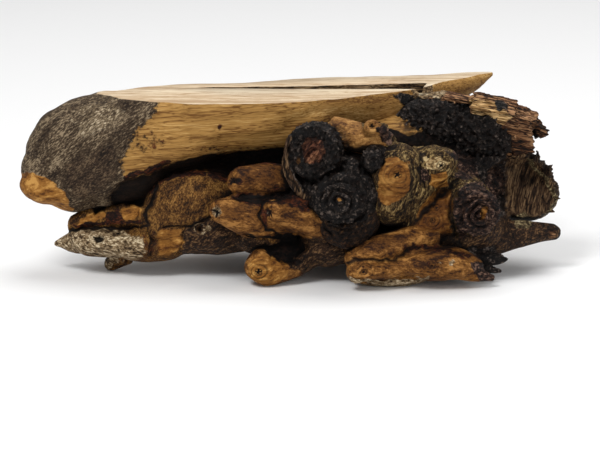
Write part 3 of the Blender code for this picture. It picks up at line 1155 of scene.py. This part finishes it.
# Marks that only the front shows

# Each has a kind, a strength, a size and its pixels. The size is an area's edge, a line's width, a spot's
# radius, an oval's radius and how tall it is, or a ring's radius and width.
AREA, LINE, SPOT, OVAL, RING = Front.area, Front.line, Front.spot, Front.oval, Front.ring

# The log's underside that lies back in the deep gap above the lobes, pressed in and painted with shade
UNDER_LOG = (
    (110, 196), (121, 182), (136, 177), (152, 172), (168, 165), (188, 158), (206, 154), (240, 152),
    (292, 151), (292, 190), (200, 200), (120, 225),
)
# The log's front that stays golden, free of painted shade and grime
UNSHADED_LOG = ((150, 100), (330, 94), (425, 90), (430, 131), (335, 130), (288, 146), (206, 149), (150, 164))
# The top of the lobes, which lies back in the deep gap under the log, pressed in and painted with shade
LOBE_GAP = (
    (95, 214), (108, 205), (126, 202), (143, 206), (149, 194), (156, 183), (174, 173), (205, 170),
    (226, 177), (242, 178), (242, 135), (150, 135), (90, 190),
)
# The gap under the shoots, pressed in and painted black as shade, and the brown foot of the second knob,
# which also gets painted shade
SHOOT_GAP = ((243, 233), (262, 237), (300, 232), (306, 250), (292, 262), (272, 257), (262, 248))
KNOB_FOOT = (
    (296, 196), (312, 214), (336, 228), (366, 222), (376, 206), (384, 230), (360, 255), (320, 250),
    (296, 225),
)

LOG_MARKS = {
    # The nose's pale patch is pale weathered wood with a painted highlight
    "pale": ((AREA, 0.8, 12, (70, 122), (84, 104), (112, 98), (126, 110), (114, 130), (86, 138)),),
    "dark": (
        (AREA, 0.7, 12, (62, 158), (98, 146), (122, 132), (120, 178), (98, 200), (76, 207), (60, 184)),
    ),
    "orange": ((AREA, 1, 3, (15, 172), (26, 172), (40, 176), (52, 181), (64, 193), (73, 210), (15, 215)),),
    "stain": (
        (AREA, 0.47, 8, (130, 126), (158, 124), (170, 138), (164, 156), (138, 160), (126, 150)),
        (LINE, 0.8, 7, (118, 181), (136, 174), (154, 169), (168, 162)),
        (SPOT, 1, 5, (245, 156)),
        (SPOT, 0.8, 6, (220, 127)),
        (LINE, 0.5, 8, (202, 148), (250, 150), (284, 146)),
        (AREA, 0.3, 8, (340, 108), (390, 100), (405, 128), (350, 126)),
    ),
    "bark": (
        (AREA, 1, 3, (392, 94), (405, 94), (440, 97), (466, 98), (500, 125), (470, 150), (395, 150),
         (424, 130), (412, 112)),
    ),
    # Painted shade on the log's underside and its darker stretches
    "shade_wash": (
        (AREA, 1, 2, *UNDER_LOG),
        (AREA, 0.4, 4, (424, 97), (430, 86), (470, 81), (494, 73), (480, 94), (462, 102)),
        (AREA, 0.45, 12, (318, 108), (360, 102), (405, 94), (424, 132), (330, 130)),
        (AREA, 0.2, 8, (120, 166), (160, 158), (206, 146), (206, 156), (130, 180)),
    ),
}
CORE_MARKS = {
    "log_front": (
        (AREA, 1, 2.5, (326, 98), (400, 90), (412, 108), (425, 131), (408, 135), (386, 126), (366, 119),
         (345, 125), (326, 126)),
    ),
    "dark_bark": ((AREA, 1, 5, (455, 150), (512, 150), (520, 225), (500, 245), (470, 245)),),
}

# The seams between the lobe, the ridge and the weathered chunk, and the insects' holes and their rims. The
# seams and holes are darkened with painted shade and grime.
LOBE_CREASES = (
    (LINE, 1, 3.5, (66, 232), (84, 228), (104, 228), (125, 229), (146, 226)),
    (LINE, 0.75, 3, (146, 226), (152, 240), (150, 256)),
    (LINE, 1, 4, (157, 184), (153, 200), (145, 214), (148, 224)),
    (LINE, 0.6, 3, (185, 228), (182, 240), (178, 252)),
    (LINE, 0.8, 3.5, (163, 227), (190, 226), (203, 220), (216, 214)),
    (AREA, 1, 1.2, (95, 236), (99, 235), (103, 238), (102, 243), (97, 244), (94, 241)),
    (SPOT, 1, 3, (118, 233)),
    (SPOT, 1, 2.6, (63, 241)),
    (SPOT, 1, 2, (125, 244)),
    (SPOT, 1, 4.5, (200, 229)),
)
HOLE_RIMS = ((RING, 1, (5, 3), (200, 229)), (RING, 0.8, (7, 4), (99, 240)))
LOBE_MARKS = {
    "pale": (
        (AREA, 1, 3, (48, 246), (62, 230), (98, 229), (124, 231), (131, 238), (128, 252), (104, 275),
         (92, 256)),
        (AREA, 0.8, 5, (126, 234), (142, 236), (148, 252), (138, 262), (122, 262)),
        (OVAL, 1, (3.5, 2), (208, 228)),
        (RING, 0.62, (5.5, 3), (200, 229)),
    ),
    "orange": (
        (AREA, 1, 3, (76, 224), (88, 214), (103, 210), (106, 217), (92, 224)),
        (AREA, 1, 3, (119, 213), (132, 204), (141, 208), (140, 216), (126, 221)),
        (AREA, 1, 4, (160, 230), (180, 230), (183, 244), (176, 254), (162, 256), (156, 246)),
        (AREA, 0.4, 14, (160, 190), (176, 180), (208, 180), (220, 192), (205, 212), (165, 216)),
    ),
    "maroon": (
        (AREA, 1, 4, (205, 160), (226, 168), (238, 178), (236, 190), (226, 184), (208, 176)),
        (LINE, 1, 5, (150, 192), (158, 182), (176, 175), (204, 173)),
        (AREA, 1, 3, (104, 212), (119, 210), (124, 220), (108, 224)),
        (LINE, 0.8, 4, (74, 226), (100, 224), (140, 222)),
        (AREA, 0.5, 6, (136, 228), (160, 228), (160, 256), (140, 258)),
    ),
    "dark": (
        (AREA, 1, 3, (185, 228), (202, 217), (218, 222), (240, 236), (275, 243), (275, 262), (220, 262),
         (182, 258)),
    ),
    # Painted shade on the lobes
    "shade_wash": (
        (AREA, 0.4, 8, (140, 215), (165, 214), (205, 212), (216, 222), (160, 230)),
        (AREA, 0.4, 6, (60, 254), (92, 256), (150, 254), (180, 252), (220, 250), (220, 275), (60, 275)),
    ),
}

# Creases, pressed in and darkened with painted shade and grime
SHOOT_CREASES = (
    (LINE, 1, 5, (300, 262), (288, 262), (276, 256)),
    (LINE, 0.9, 3.5, (272, 199), (262, 205), (259, 215), (266, 228), (284, 238)),
    (LINE, 0.8, 5, (236, 198), (262, 202), (290, 198)),
    (LINE, 1, 4, (240, 196), (262, 197), (290, 193)),
)
SHOOT_MARKS = {
    "maroon": (
        (AREA, 0.8, 4, (234, 190), (262, 194), (290, 198), (290, 206), (262, 204), (240, 199)),
        (AREA, 0.9, 5, (228, 197), (240, 190), (262, 199), (264, 206), (250, 205), (236, 202)),
        (AREA, 1, 5, (277, 196), (290, 186), (312, 192), (310, 216), (296, 208), (280, 202)),
        (LINE, 0.7, 5, (246, 200), (262, 206), (266, 224)),
        (LINE, 0.7, 5, (230, 172), (240, 165), (264, 162), (288, 164)),
        (AREA, 0.6, 8, (246, 186), (270, 184), (292, 180), (294, 198), (262, 196), (246, 192)),
        (SPOT, 0.85, 10, (237, 181)),
        (SPOT, 0.8, 9, (268, 213)),
        (AREA, 0.6, 5, (246, 232), (262, 240), (300, 244), (300, 236), (268, 232)),
    ),
    "pale": (
        (OVAL, 0.85, (11, 1.1), (216, 211)),
        (SPOT, 0.45, 8, (268, 212)),
    ),
    "orange": (
        (AREA, 1, 3, (249, 262), (258, 254), (274, 256), (288, 264), (288, 278), (266, 287), (250, 279)),
    ),
    "shaded_gap": ((AREA, 1, 3, *SHOOT_GAP),),
    "olive": ((AREA, 1, 3, (296, 238), (345, 236), (345, 275), (312, 280), (298, 270), (288, 266)),),
    # Painted shade on the shoots
    "shade_wash": (
        (AREA, 0.6, 8, (232, 165), (290, 165), (296, 204), (262, 205), (238, 196)),
        (AREA, 0.25, 8, (212, 200), (250, 196), (310, 200), (310, 240), (262, 236), (214, 222)),
        (AREA, 0.5, 5, (236, 226), (262, 236), (310, 244), (310, 226), (272, 238)),
        (AREA, 0.4, 5, (262, 256), (300, 256), (300, 268), (262, 262)),
    ),
}

# Creases, pressed in and darkened with painted shade and grime
BARKED_CREASES = (
    (LINE, 1, 4, (298, 178), (318, 181), (334, 173), (346, 162)),
    (LINE, 1, 3, (289, 146), (290, 162), (298, 176)),
    (LINE, 0.8, 3, (284, 160), (288, 176), (300, 190)),
    (LINE, 0.8, 3, (306, 186), (308, 204), (316, 220), (332, 234)),
    (LINE, 1, 3, (362, 158), (362, 172), (374, 174)),
)
# The first knob's cut face, pressed in and kept clear of the painted shade in the crumbs' gaps
FACE_DISH = ((SPOT, 1, 18, (312, 151)),)
FACE_CLEAR = ((SPOT, 0.8, 19, (313, 151)),)
BARKED_MARKS = {
    "face": (
        (AREA, 1, 3, (301, 146), (307, 139), (316, 137), (323, 142), (325, 152), (321, 161), (313, 165),
         (304, 161)),
    ),
    "golden": (
        (OVAL, 0.8, (7, 1.2), (298, 162)),
        (SPOT, 0.9, 4.5, (340, 200)),
    ),
    "brown": ((AREA, 1, 7, *KNOB_FOOT),),
    # Painted shade on the second knob's foot and middle
    "shade_wash": (
        (AREA, 0.85, 7, *KNOB_FOOT),
        (SPOT, 0.3, 14, (340, 200)),
    ),
    "fibre": ((LINE, 1, 8, (287, 140), (284, 156), (286, 172), (294, 186), (306, 200)),),
}

# Creases, pressed in and darkened with painted shade and grime
DOMED_CREASES = (
    (LINE, 0.8, 6.5, (406, 236), (416, 222), (428, 208), (441, 195), (456, 180)),
    (LINE, 0.6, 4.5, (412, 160), (416, 178), (413, 196), (402, 212), (392, 226)),
    (LINE, 1, 4, (344, 154), (360, 158), (378, 152), (396, 146)),
    (LINE, 0.8, 3, (422, 154), (419, 168), (424, 186)),
    (LINE, 0.7, 3, (456, 190), (450, 205), (454, 230), (460, 246)),
)
DOMED_MARKS = {
    "golden": (
        (AREA, 1, 2.5, (324, 112), (345, 112), (362, 116), (370, 115), (378, 120), (386, 130), (390, 142),
         (382, 150), (360, 157), (336, 150), (324, 128)),
    ),
    "orange": (
        (AREA, 1, 3, (386, 158), (398, 157), (408, 163), (411, 178), (408, 192), (398, 201), (386, 205),
         (378, 198), (378, 186), (381, 170)),
        (AREA, 1, 3, (421, 204), (437, 190), (449, 188), (454, 202), (450, 222), (454, 244), (430, 248),
         (408, 245), (404, 238), (414, 222)),
        (AREA, 1, 2.5, (430, 174), (446, 172), (449, 184), (437, 189), (429, 184)),
    ),
    "eye": ((OVAL, 1, (7, 1.8), (484, 213)),),
    "cream": ((AREA, 1, 2.5, (422, 158), (438, 157), (449, 162), (441, 169), (427, 169)),),
    "bark": (
        (AREA, 1, 3, (454, 202), (461, 187), (476, 180), (497, 184), (510, 205), (503, 232), (486, 246),
         (466, 246), (455, 228)),
        (AREA, 1, 2.5, (376, 128), (386, 125), (394, 132), (392, 146), (382, 142)),
        (AREA, 0.9, 2.5, (418, 166), (428, 168), (430, 182), (421, 184)),
        (AREA, 0.8, 4, (440, 150), (470, 150), (482, 176), (462, 182), (450, 176), (458, 164)),
    ),
    # Painted shade on the domed knobs
    "shade_wash": (
        (AREA, 0.85, 6, (421, 204), (437, 190), (449, 188), (456, 202), (452, 222), (456, 246), (406, 248),
         (404, 238), (414, 222)),
        (AREA, 0.55, 5, (374, 158), (398, 155), (412, 164), (416, 184), (411, 200), (384, 214), (372, 206)),
        (AREA, 0.5, 8, (374, 196), (396, 204), (412, 196), (420, 210), (404, 240), (372, 226)),
    ),
}

# Creases, pressed in and darkened with painted shade and grime
BOTTOM_CREASES = (
    (LINE, 0.75, 5, (348, 262), (362, 259), (380, 261), (396, 259), (408, 250)),
    (LINE, 0.5, 3, (352, 278), (380, 279), (405, 277), (420, 274)),
)
BOTTOM_MARKS = {
    "bark": ((AREA, 1, 3, (470, 262), (484, 262), (500, 270), (500, 285), (482, 282), (473, 272)),),
    "pale": (
        (AREA, 1, 2.5, (345, 277), (372, 280), (410, 279), (430, 276), (425, 292), (345, 292)),
        (SPOT, 0.8, 7, (452, 264)),
        (SPOT, 0.6, 5, (440, 262)),
    ),
    "dark": (
        (AREA, 0.7, 4, (400, 242), (440, 244), (480, 256), (470, 260), (430, 252), (402, 252)),
        (SPOT, 0.8, 4, (428, 264)),
        (SPOT, 0.8, 4, (363, 268)),
    ),
    # Painted shade along the bottom lobes' top
    "shade_wash": ((AREA, 0.5, 6, (340, 238), (400, 238), (460, 246), (490, 260), (400, 252), (345, 247)),),
}

TORN_MARKS = {
    "aged": (
        (AREA, 1, 2.5, (500, 106), (515, 107), (528, 113), (537, 121), (546, 133), (540, 140), (528, 128),
         (510, 119)),
        (AREA, 1, 2.5, (508, 120), (530, 124), (529, 140), (522, 152), (511, 156), (512, 135)),
        (AREA, 1, 2.5, (446, 92), (470, 96), (474, 103), (455, 103)),
    ),
    "pale": ((AREA, 0.8, 3, (416, 88), (436, 85), (450, 92), (440, 98), (424, 96)),),
}
SPLINTER_MARKS = {
    "split": ((AREA, 1, 2.5, (470, 99), (488, 100), (500, 105), (512, 118), (504, 124), (472, 120)),),
    "pale": ((AREA, 1, 3, (412, 84), (436, 82), (448, 92), (440, 99), (418, 98)),),
    "bark": ((AREA, 1, 2, (494, 100), (504, 102), (508, 110), (500, 111), (495, 107)),),
    # Painted shade below the splinters
    "shade_wash": ((AREA, 0.8, 6, (500, 122), (528, 130), (530, 156), (502, 160)),),
}
SHELL_MARKS = {
    "lichen": (
        (LINE, 0.8, 5, (528, 160), (545, 178), (558, 200), (546, 216)),
        (AREA, 0.9, 3, (512, 216), (524, 212), (536, 218), (528, 229), (516, 228)),
    ),
    "reddish": ((SPOT, 0.9, 10, (552, 234)),),
    # Painted shade on the shell's lower part
    "shade_wash": ((AREA, 0.35, 6, (500, 226), (562, 222), (562, 250), (500, 262)),),
    "dark": (
        (AREA, 0.8, 7, (455, 150), (505, 150), (513, 180), (508, 216), (470, 216)),
        (AREA, 1, 5, (466, 246), (490, 246), (508, 256), (508, 274), (466, 274)),
    ),
}


def marked(front, marks):
    """The strongest of some marks at each vertex."""
    shares = [strength * kind(front, pixels, size) for kind, strength, size, *pixels in marks]
    return np.maximum.reduce(shares)


def paint_marks(piece, front, channels):
    """Paints each channel with its marks."""
    for channel, marks in channels.items():
        paint(piece, channel, marked(front, marks))


# The pieces

# How deep creases between forms are pressed in, how far a saw-cut face may be from its plane, and how
# level it has to be
CREASE_DEPTH = 3.0
SAWN_SLACK = 0.05
SAWN_LEVEL = 0.99

# The weathered skin's edge on the log: where it ends along the grain at some heights, and its fade
WEATHERED_HEIGHTS = (73, 86, 96, 107, 114, 122)
WEATHERED_ENDS = (-115, -115, -110, -104, -95, -90)
WEATHERED_FADE = 13.0

# Where the crack's walls may be: its reach along the grain, and how far outside its lips and down
CRACK_REACH = (-68, 100)
CRACK_MARGIN = 4.0
CRACK_FLOOR = SAWN_HEIGHT - 24

# The patches of bark and of golden wood on the wood behind the knobs: their size, the shift of the golden
# ones' pattern, and the noise at which they start and are full. Then the share of clinging bark, and
# how deep in the view the gap's painted black shade starts and is full
BARK_PATCH = 30.0
BARK_PATCH_FROM = (0.0, 0.4)
GOLDEN_PATCH = 24.0
GOLDEN_SHIFT = 70.0
GOLDEN_FROM = (0.05, 0.35)
CLINGING_SHARE = 0.75
GAP_FROM = (-30, -5)

# The splinters' fibres, and how far they stick out at the boards' ends
SPLINTER_FIBRES = ((0.8, 1.7, (12, 1, 1), 0), (0.9, 5, (4, 1, 1), 0))
SPLINTER_ENDS = ((3.2, 2.6, (16, 1, 1), 30),)

# The shell's fibres: their reach from the hollow's middle, how near they start and are full, and where
# along the grain
FIBRE_REACH = (44, 50, 33)
FIBRE_FROM = (0.12, 0.3)
FIBRE_ALONG = (140, 162)


def paint_shade_and_grime(pieces):
    """Adds painted shade with grime in the closed-in places to that of the creases."""
    skins = skin_tree(pieces)
    for piece in pieces:
        # Painted shade with grime where the blank is closed in
        shade_and_dirt = rise(softened(piece, closed_in(piece, skins), SHADE_PASSES), *SHADE_FROM)
        paint(piece, "grime_and_shade", vertex_values(piece, "grime_and_shade"), shade_and_dirt * (1 - vertex_values(piece, "unshaded")))


def finished(piece, *materials, creases=(), unshaded=()):
    """Smooth shading, the materials, the painted shade and grime of the creases and the unshaded places,
    and the piece's place in the frame.
    """
    low, high = (np.array(corner) for corner in CAD_BOX)
    place_vertices(piece, np.clip(vertex_places(piece), low + BOX_MARGIN, high - BOX_MARGIN))
    piece.data.shade_smooth()
    piece.data.materials.clear()
    for material in materials:
        piece.data.materials.append(material)
    plain = np.zeros(len(piece.data.vertices))
    paint(piece, "grime_and_shade", plain, *creases)
    paint(piece, "unshaded", plain, *unshaded)
    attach(piece, "root")
    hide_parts("burl_blank")
    return piece


def sawn_log():
    log_forms()
    piece = fuse("sawn_log", voxel=1.25, smoothing=10)
    relieve(piece, bare_grain=0.25)
    saw_flat(piece, SAWN_HEIGHT, keep_above=False)
    cut_away(piece, crack_cutter())
    press_in(piece, Front(piece).area(UNDER_LOG, edge=2), depth=7.0)
    spots = drawn(vertex_places(piece))
    front = Front(piece)
    edge = np.interp(spots[:, 2], WEATHERED_HEIGHTS, WEATHERED_ENDS)
    paint(piece, "weathered", 0.5 + (edge - spots[:, 0]) / WEATHERED_FADE)
    paint_marks(piece, front, LOG_MARKS)
    skin = skin_material("log_skin", "golden_wood", (
        ("maroon_skin", "stain", 4.0, 1.0),
        ("weathered_skin", "weathered", 3.0, 1.2),
        ("pale_skin", "pale", 6.0, 1.0),
        ("dark_skin", "dark", 6.0, 1.0),
        ("orange_wood", "orange", 6.0, 0.6),
        ("black_bark", "bark", 5.0, 0.9),
    ))
    sawn = skin_material("sawn_face", "sawn_wood", with_shade_and_dirt=False)
    split = skin_material("crack_wall", "crack_wood", with_shade_and_dirt=False)
    unshaded = 0.85 * front.area(UNSHADED_LOG, edge=4)
    finished(piece, skin, sawn, split, creases=(front.area(UNDER_LOG, edge=2),), unshaded=(unshaded,))
    part_faces(piece)
    return piece


def part_faces(piece):
    """Gives the log's sawn face its second material, and the crack's walls its third."""
    levels = np.array([(face.center.z, face.normal.z) for face in piece.data.polygons])
    spots = drawn(np.array([face.center for face in piece.data.polygons]))
    sawn = (levels[:, 1] > SAWN_LEVEL) & (levels[:, 0] > (SAWN_HEIGHT - SAWN_SLACK) * MM - BOX_MARGIN)
    lip = np.interp(spots[:, 0], [x for x, y in CRACK_FRONT], [y for x, y in CRACK_FRONT])
    far = np.interp(spots[:, 0], [x for x, y in CRACK_BACK][::-1], [y for x, y in CRACK_BACK][::-1])
    split = (spots[:, 0] > CRACK_REACH[0]) & (spots[:, 0] < CRACK_REACH[1]) & (spots[:, 2] > CRACK_FLOOR)
    split &= (spots[:, 1] > lip - CRACK_MARGIN) & (spots[:, 1] < far + CRACK_MARGIN) & ~sawn
    slots = np.where(sawn, 1, np.where(split, 2, 0)).astype(np.int32)
    piece.data.polygons.foreach_set("material_index", slots)


def log_core():
    core_forms()
    back_forms()
    piece = fuse("log_core", voxel=1.8, smoothing=6)
    relieve(piece)
    saw_flat(piece, height=0.0, keep_above=True)
    spots = drawn(vertex_places(piece))
    front = Front(piece)
    patches = rise(grain_of(spots, BARK_PATCH), *BARK_PATCH_FROM)
    paint(piece, "bark", CLINGING_SHARE * bark_cover(spots) + 0.5 * patches)
    paint(piece, "golden", rise(grain_of(spots + GOLDEN_SHIFT, GOLDEN_PATCH), *GOLDEN_FROM))
    paint_marks(piece, front, CORE_MARKS)
    # The core seen deep in the gaps between the front pieces is painted black as shade
    shown_gap = front.shown * rise(-spots[:, 1], *GAP_FROM)
    paint(piece, "shaded_gap", shown_gap - vertex_values(piece, "dark_bark") - vertex_values(piece, "log_front"))
    skin = skin_material("core_skin", "mottled_wood", (
        ("golden_wood", "golden", 6.0, 0.9),
        ("brown_bark", "bark", 6.0, 0.9),
        ("shade_and_pith_black", "shaded_gap", 5.0, 0.7),
        ("purple_bark", "dark_bark", 5.0, 0.8),
        ("golden_wood", "log_front", 4.0, 0.6),
    ))
    return finished(piece, skin)


def left_lobes():
    lower_left_forms()
    piece = fuse("left_lobes", voxel=1.05, smoothing=10)
    relieve(piece)
    front = Front(piece)
    press_in(piece, front.area(LOBE_GAP, edge=2), depth=9.0)
    press_in(piece, marked(front, LOBE_CREASES), depth=3.5)
    press_in(piece, marked(front, HOLE_RIMS), depth=-1.6)
    saw_flat(piece, height=0.0, keep_above=True)
    front = Front(piece)
    paint_marks(piece, front, LOBE_MARKS)
    skin = skin_material("lobe_skin", "mottled_wood", (
        ("orange_wood", "orange", 4.0, 0.8),
        ("maroon_skin", "maroon", 4.0, 1.2),
        ("brown_bark", "dark", 5.0, 0.9),
        ("pale_wood", "pale", 4.0, 0.6),
    ))
    return finished(piece, skin, creases=(front.area(LOBE_GAP, edge=2), marked(front, LOBE_CREASES)))


def shoots():
    shoot_forms()
    piece = fuse("shoots", voxel=0.95, smoothing=10)
    relieve(piece)
    front = Front(piece)
    press_in(piece, marked(front, SHOOT_CREASES), CREASE_DEPTH)
    press_in(piece, front.area(SHOOT_GAP, edge=3), depth=8.0)
    saw_flat(piece, height=0.0, keep_above=True)
    front = Front(piece)
    paint_marks(piece, front, SHOOT_MARKS)
    skin = skin_material("shoot_skin", "shoot_wood", (
        ("orange_wood", "orange", 5.0, 0.6),
        ("maroon_skin", "maroon", 5.0, 0.8),
        ("pale_wood", "pale", 3.0, 0.6),
        ("brown_bark", "olive", 4.0, 0.7),
        ("shade_and_pith_black", "shaded_gap", 4.0, 0.7),
    ))
    return finished(piece, skin, creases=(marked(front, SHOOT_CREASES),))


def barked_knobs():
    barked_knob_forms()
    piece = fuse("barked_knobs", voxel=0.85, smoothing=10)
    relieve(piece, crumb=1.2)
    front = Front(piece)
    creases = marked(front, BARKED_CREASES)
    press_in(piece, creases, CREASE_DEPTH)
    press_in(piece, marked(front, FACE_DISH), depth=1.8)
    front = Front(piece)
    # No painted shade of the crumbs on the cut face
    paint(piece, "low", vertex_values(piece, "low") * (1 - marked(front, FACE_CLEAR)))
    paint_marks(piece, front, BARKED_MARKS)
    skin = skin_material("knob_bark", "black_bark", (
        ("shell_fibre", "fibre", 4.0, 0.9),
        ("brown_bark", "brown", 5.0, 0.8),
        ("cut_face", "face", 3.0, 0.6),
        ("orange_wood", "golden", 3.0, 0.6),
    ))
    return finished(piece, skin, creases=(creases,))


def domed_knobs():
    domed_knob_forms()
    piece = fuse("domed_knobs", voxel=0.9, smoothing=10)
    relieve(piece, crumb=1.1)
    creases = marked(Front(piece), DOMED_CREASES)
    press_in(piece, creases, CREASE_DEPTH)
    paint_marks(piece, Front(piece), DOMED_MARKS)
    skin = skin_material("knob_skin", "olive_bark", (
        ("burl_wood", "golden", 4.0, 0.7),
        ("orange_wood", "orange", 4.0, 0.9),
        ("cream_bark", "cream", 3.0, 0.8),
        ("purple_bark", "bark", 4.0, 0.9),
        ("orange_wood", "eye", 3.0, 0.8),
    ))
    return finished(piece, skin, creases=(creases,))


def bottom_lobes():
    bottom_forms()
    piece = fuse("bottom_lobes", voxel=0.95, smoothing=8)
    relieve(piece)
    press_in(piece, marked(Front(piece), BOTTOM_CREASES), depth=3.5)
    front = Front(piece)
    paint_marks(piece, front, BOTTOM_MARKS)
    skin = skin_material("bottom_skin", "shoot_wood", (
        ("maroon_skin", "dark", 4.0, 0.9),
        ("purple_bark", "bark", 4.0, 0.8),
        ("pale_wood", "pale", 4.0, 0.9),
    ))
    return finished(piece, skin, creases=(marked(front, BOTTOM_CREASES),))


def torn_end():
    torn_end_forms()
    piece = fuse("torn_end", voxel=1.0, smoothing=8)
    relieve(piece, crumb=1.8)
    paint_marks(piece, Front(piece), TORN_MARKS)
    skin = skin_material("torn_bark", "black_bark", (
        ("aged_wood", "aged", 4.0, 0.7),
        ("pale_wood", "pale", 3.0, 1.0),
    ))
    return finished(piece, skin)


def splinters():
    """Boards and splinters of the torn end, with fibres along them and jagged ends."""
    splinter_forms()
    piece = fuse("splinters", voxel=0.75, smoothing=2)
    points = vertex_places(piece)
    spots = drawn(points)
    lifts = rough(spots, SPLINTER_FIBRES)
    points += vertex_normals(piece) * lifts[:, None] * MM
    points[:, 0] += rough(spots, SPLINTER_ENDS) * MM
    place_vertices(piece, points)
    # Painted shade between the splinters' fibres
    paint(piece, "low", rise(-lifts, *RING_LOW))
    paint_marks(piece, Front(piece), SPLINTER_MARKS)
    skin = skin_material("splinter_wood", "aged_wood", (
        ("split_wood", "split", 3.0, 0.6),
        ("pale_wood", "pale", 3.0, 0.8),
        ("black_bark", "bark", 3.0, 0.6),
    ))
    return finished(piece, skin)


def bark_shell():
    shell_forms()
    piece = fuse("bark_shell", voxel=1.0, smoothing=8)
    relieve(piece)
    saw_flat(piece, height=0.0, keep_above=True)
    cut_away(piece, hollow_cutter())
    drop_crumbs(piece)
    spots = drawn(vertex_places(piece))
    inside = nearness(spots, HOLLOW_MIDDLE, FIBRE_REACH)
    paint(piece, "fibre", rise(inside, *FIBRE_FROM) * rise(spots[:, 0], *FIBRE_ALONG))
    paint_marks(piece, Front(piece), SHELL_MARKS)
    skin = skin_material("shell_skin", "brown_bark", (
        ("black_bark", "dark", 6.0, 0.9),
        ("shell_fibre", "fibre", 4.0, 0.5),
        ("aged_wood", "reddish", 4.0, 0.6),
        ("lichen", "lichen", 3.0, 1.2),
    ))
    return finished(piece, skin)


# The stage

# Lights: the place in metres, the size in metres and the power in watts of each
LIGHTS = {
    "key": ((-0.8, -1.3, 1.8), 0.8, 31),
    "fill": ((1.2, -1.6, 0.7), 1.2, 9),
    "top": ((0.35, 0.5, 1.9), 1.4, 22),
}
LIGHTS_AIM = (0, 0, 0.05)

# The light of the white backdrop, the floor's size in metres and its drop below the blank in millimetres
WORLD_STRENGTH = 0.4
FLOOR_SIZE = 8
FLOOR_DROP = 0.3


def soft_light(name, place, size, power):
    light = bpy.data.lights.new(name, "AREA")
    light.energy = power
    light.size = size
    lamp = bpy.data.objects.new(name, light)
    lamp.location = place
    lamp.rotation_euler = (Vector(LIGHTS_AIM) - Vector(place)).to_track_quat("-Z", "Y").to_euler()
    bpy.context.scene.collection.objects.link(lamp)


def floor():
    """A plain pale floor, a hair below the blank."""
    deselect_all()
    bpy.ops.mesh.primitive_plane_add(size=FLOOR_SIZE, location=(0, 0, -FLOOR_DROP * MM))
    sheet = bpy.context.object
    sheet.name = "floor"
    paper = bpy.data.materials.new("floor_paper")
    paper.use_nodes = True
    surface = paper.node_tree.nodes["Principled BSDF"]
    set_inputs(paper.node_tree, surface, {"Base Color": (0.86, 0.86, 0.86, 1), "Roughness": 0.9})
    sheet.data.materials.append(paper)


def photo_camera():
    place, *_, back = camera_axes()
    camera = bpy.data.objects.new("camera", bpy.data.cameras.new("camera"))
    camera.location = place
    camera.rotation_euler = (-back).to_track_quat("-Z", "Y").to_euler()
    camera.data.sensor_width = SENSOR
    camera.data.lens = SENSOR * CAMERA_DISTANCE / (PHOTO_SIZE[0] * PHOTO_PIXEL * MM)
    bpy.context.scene.collection.objects.link(camera)
    bpy.context.scene.camera = camera


def stage():
    """The floor, soft studio lights and the photo's camera."""
    floor()
    world = bpy.data.worlds.new("studio")
    world.use_nodes = True
    backdrop = world.node_tree.nodes["Background"]
    set_inputs(world.node_tree, backdrop, {"Color": (1, 1, 1, 1), "Strength": WORLD_STRENGTH})
    bpy.context.scene.world = world
    for name, light in LIGHTS.items():
        soft_light(name, *light)
    photo_camera()
    bpy.context.scene.view_settings.view_transform = "Standard"


PARTS = (
    sawn_log,
    log_core,
    left_lobes,
    shoots,
    barked_knobs,
    domed_knobs,
    bottom_lobes,
    torn_end,
    splinters,
    bark_shell,
)


def main():
    noise.seed_set(NOISE_SEED)
    paint_shade_and_grime([part() for part in PARTS])
    stage()


main()
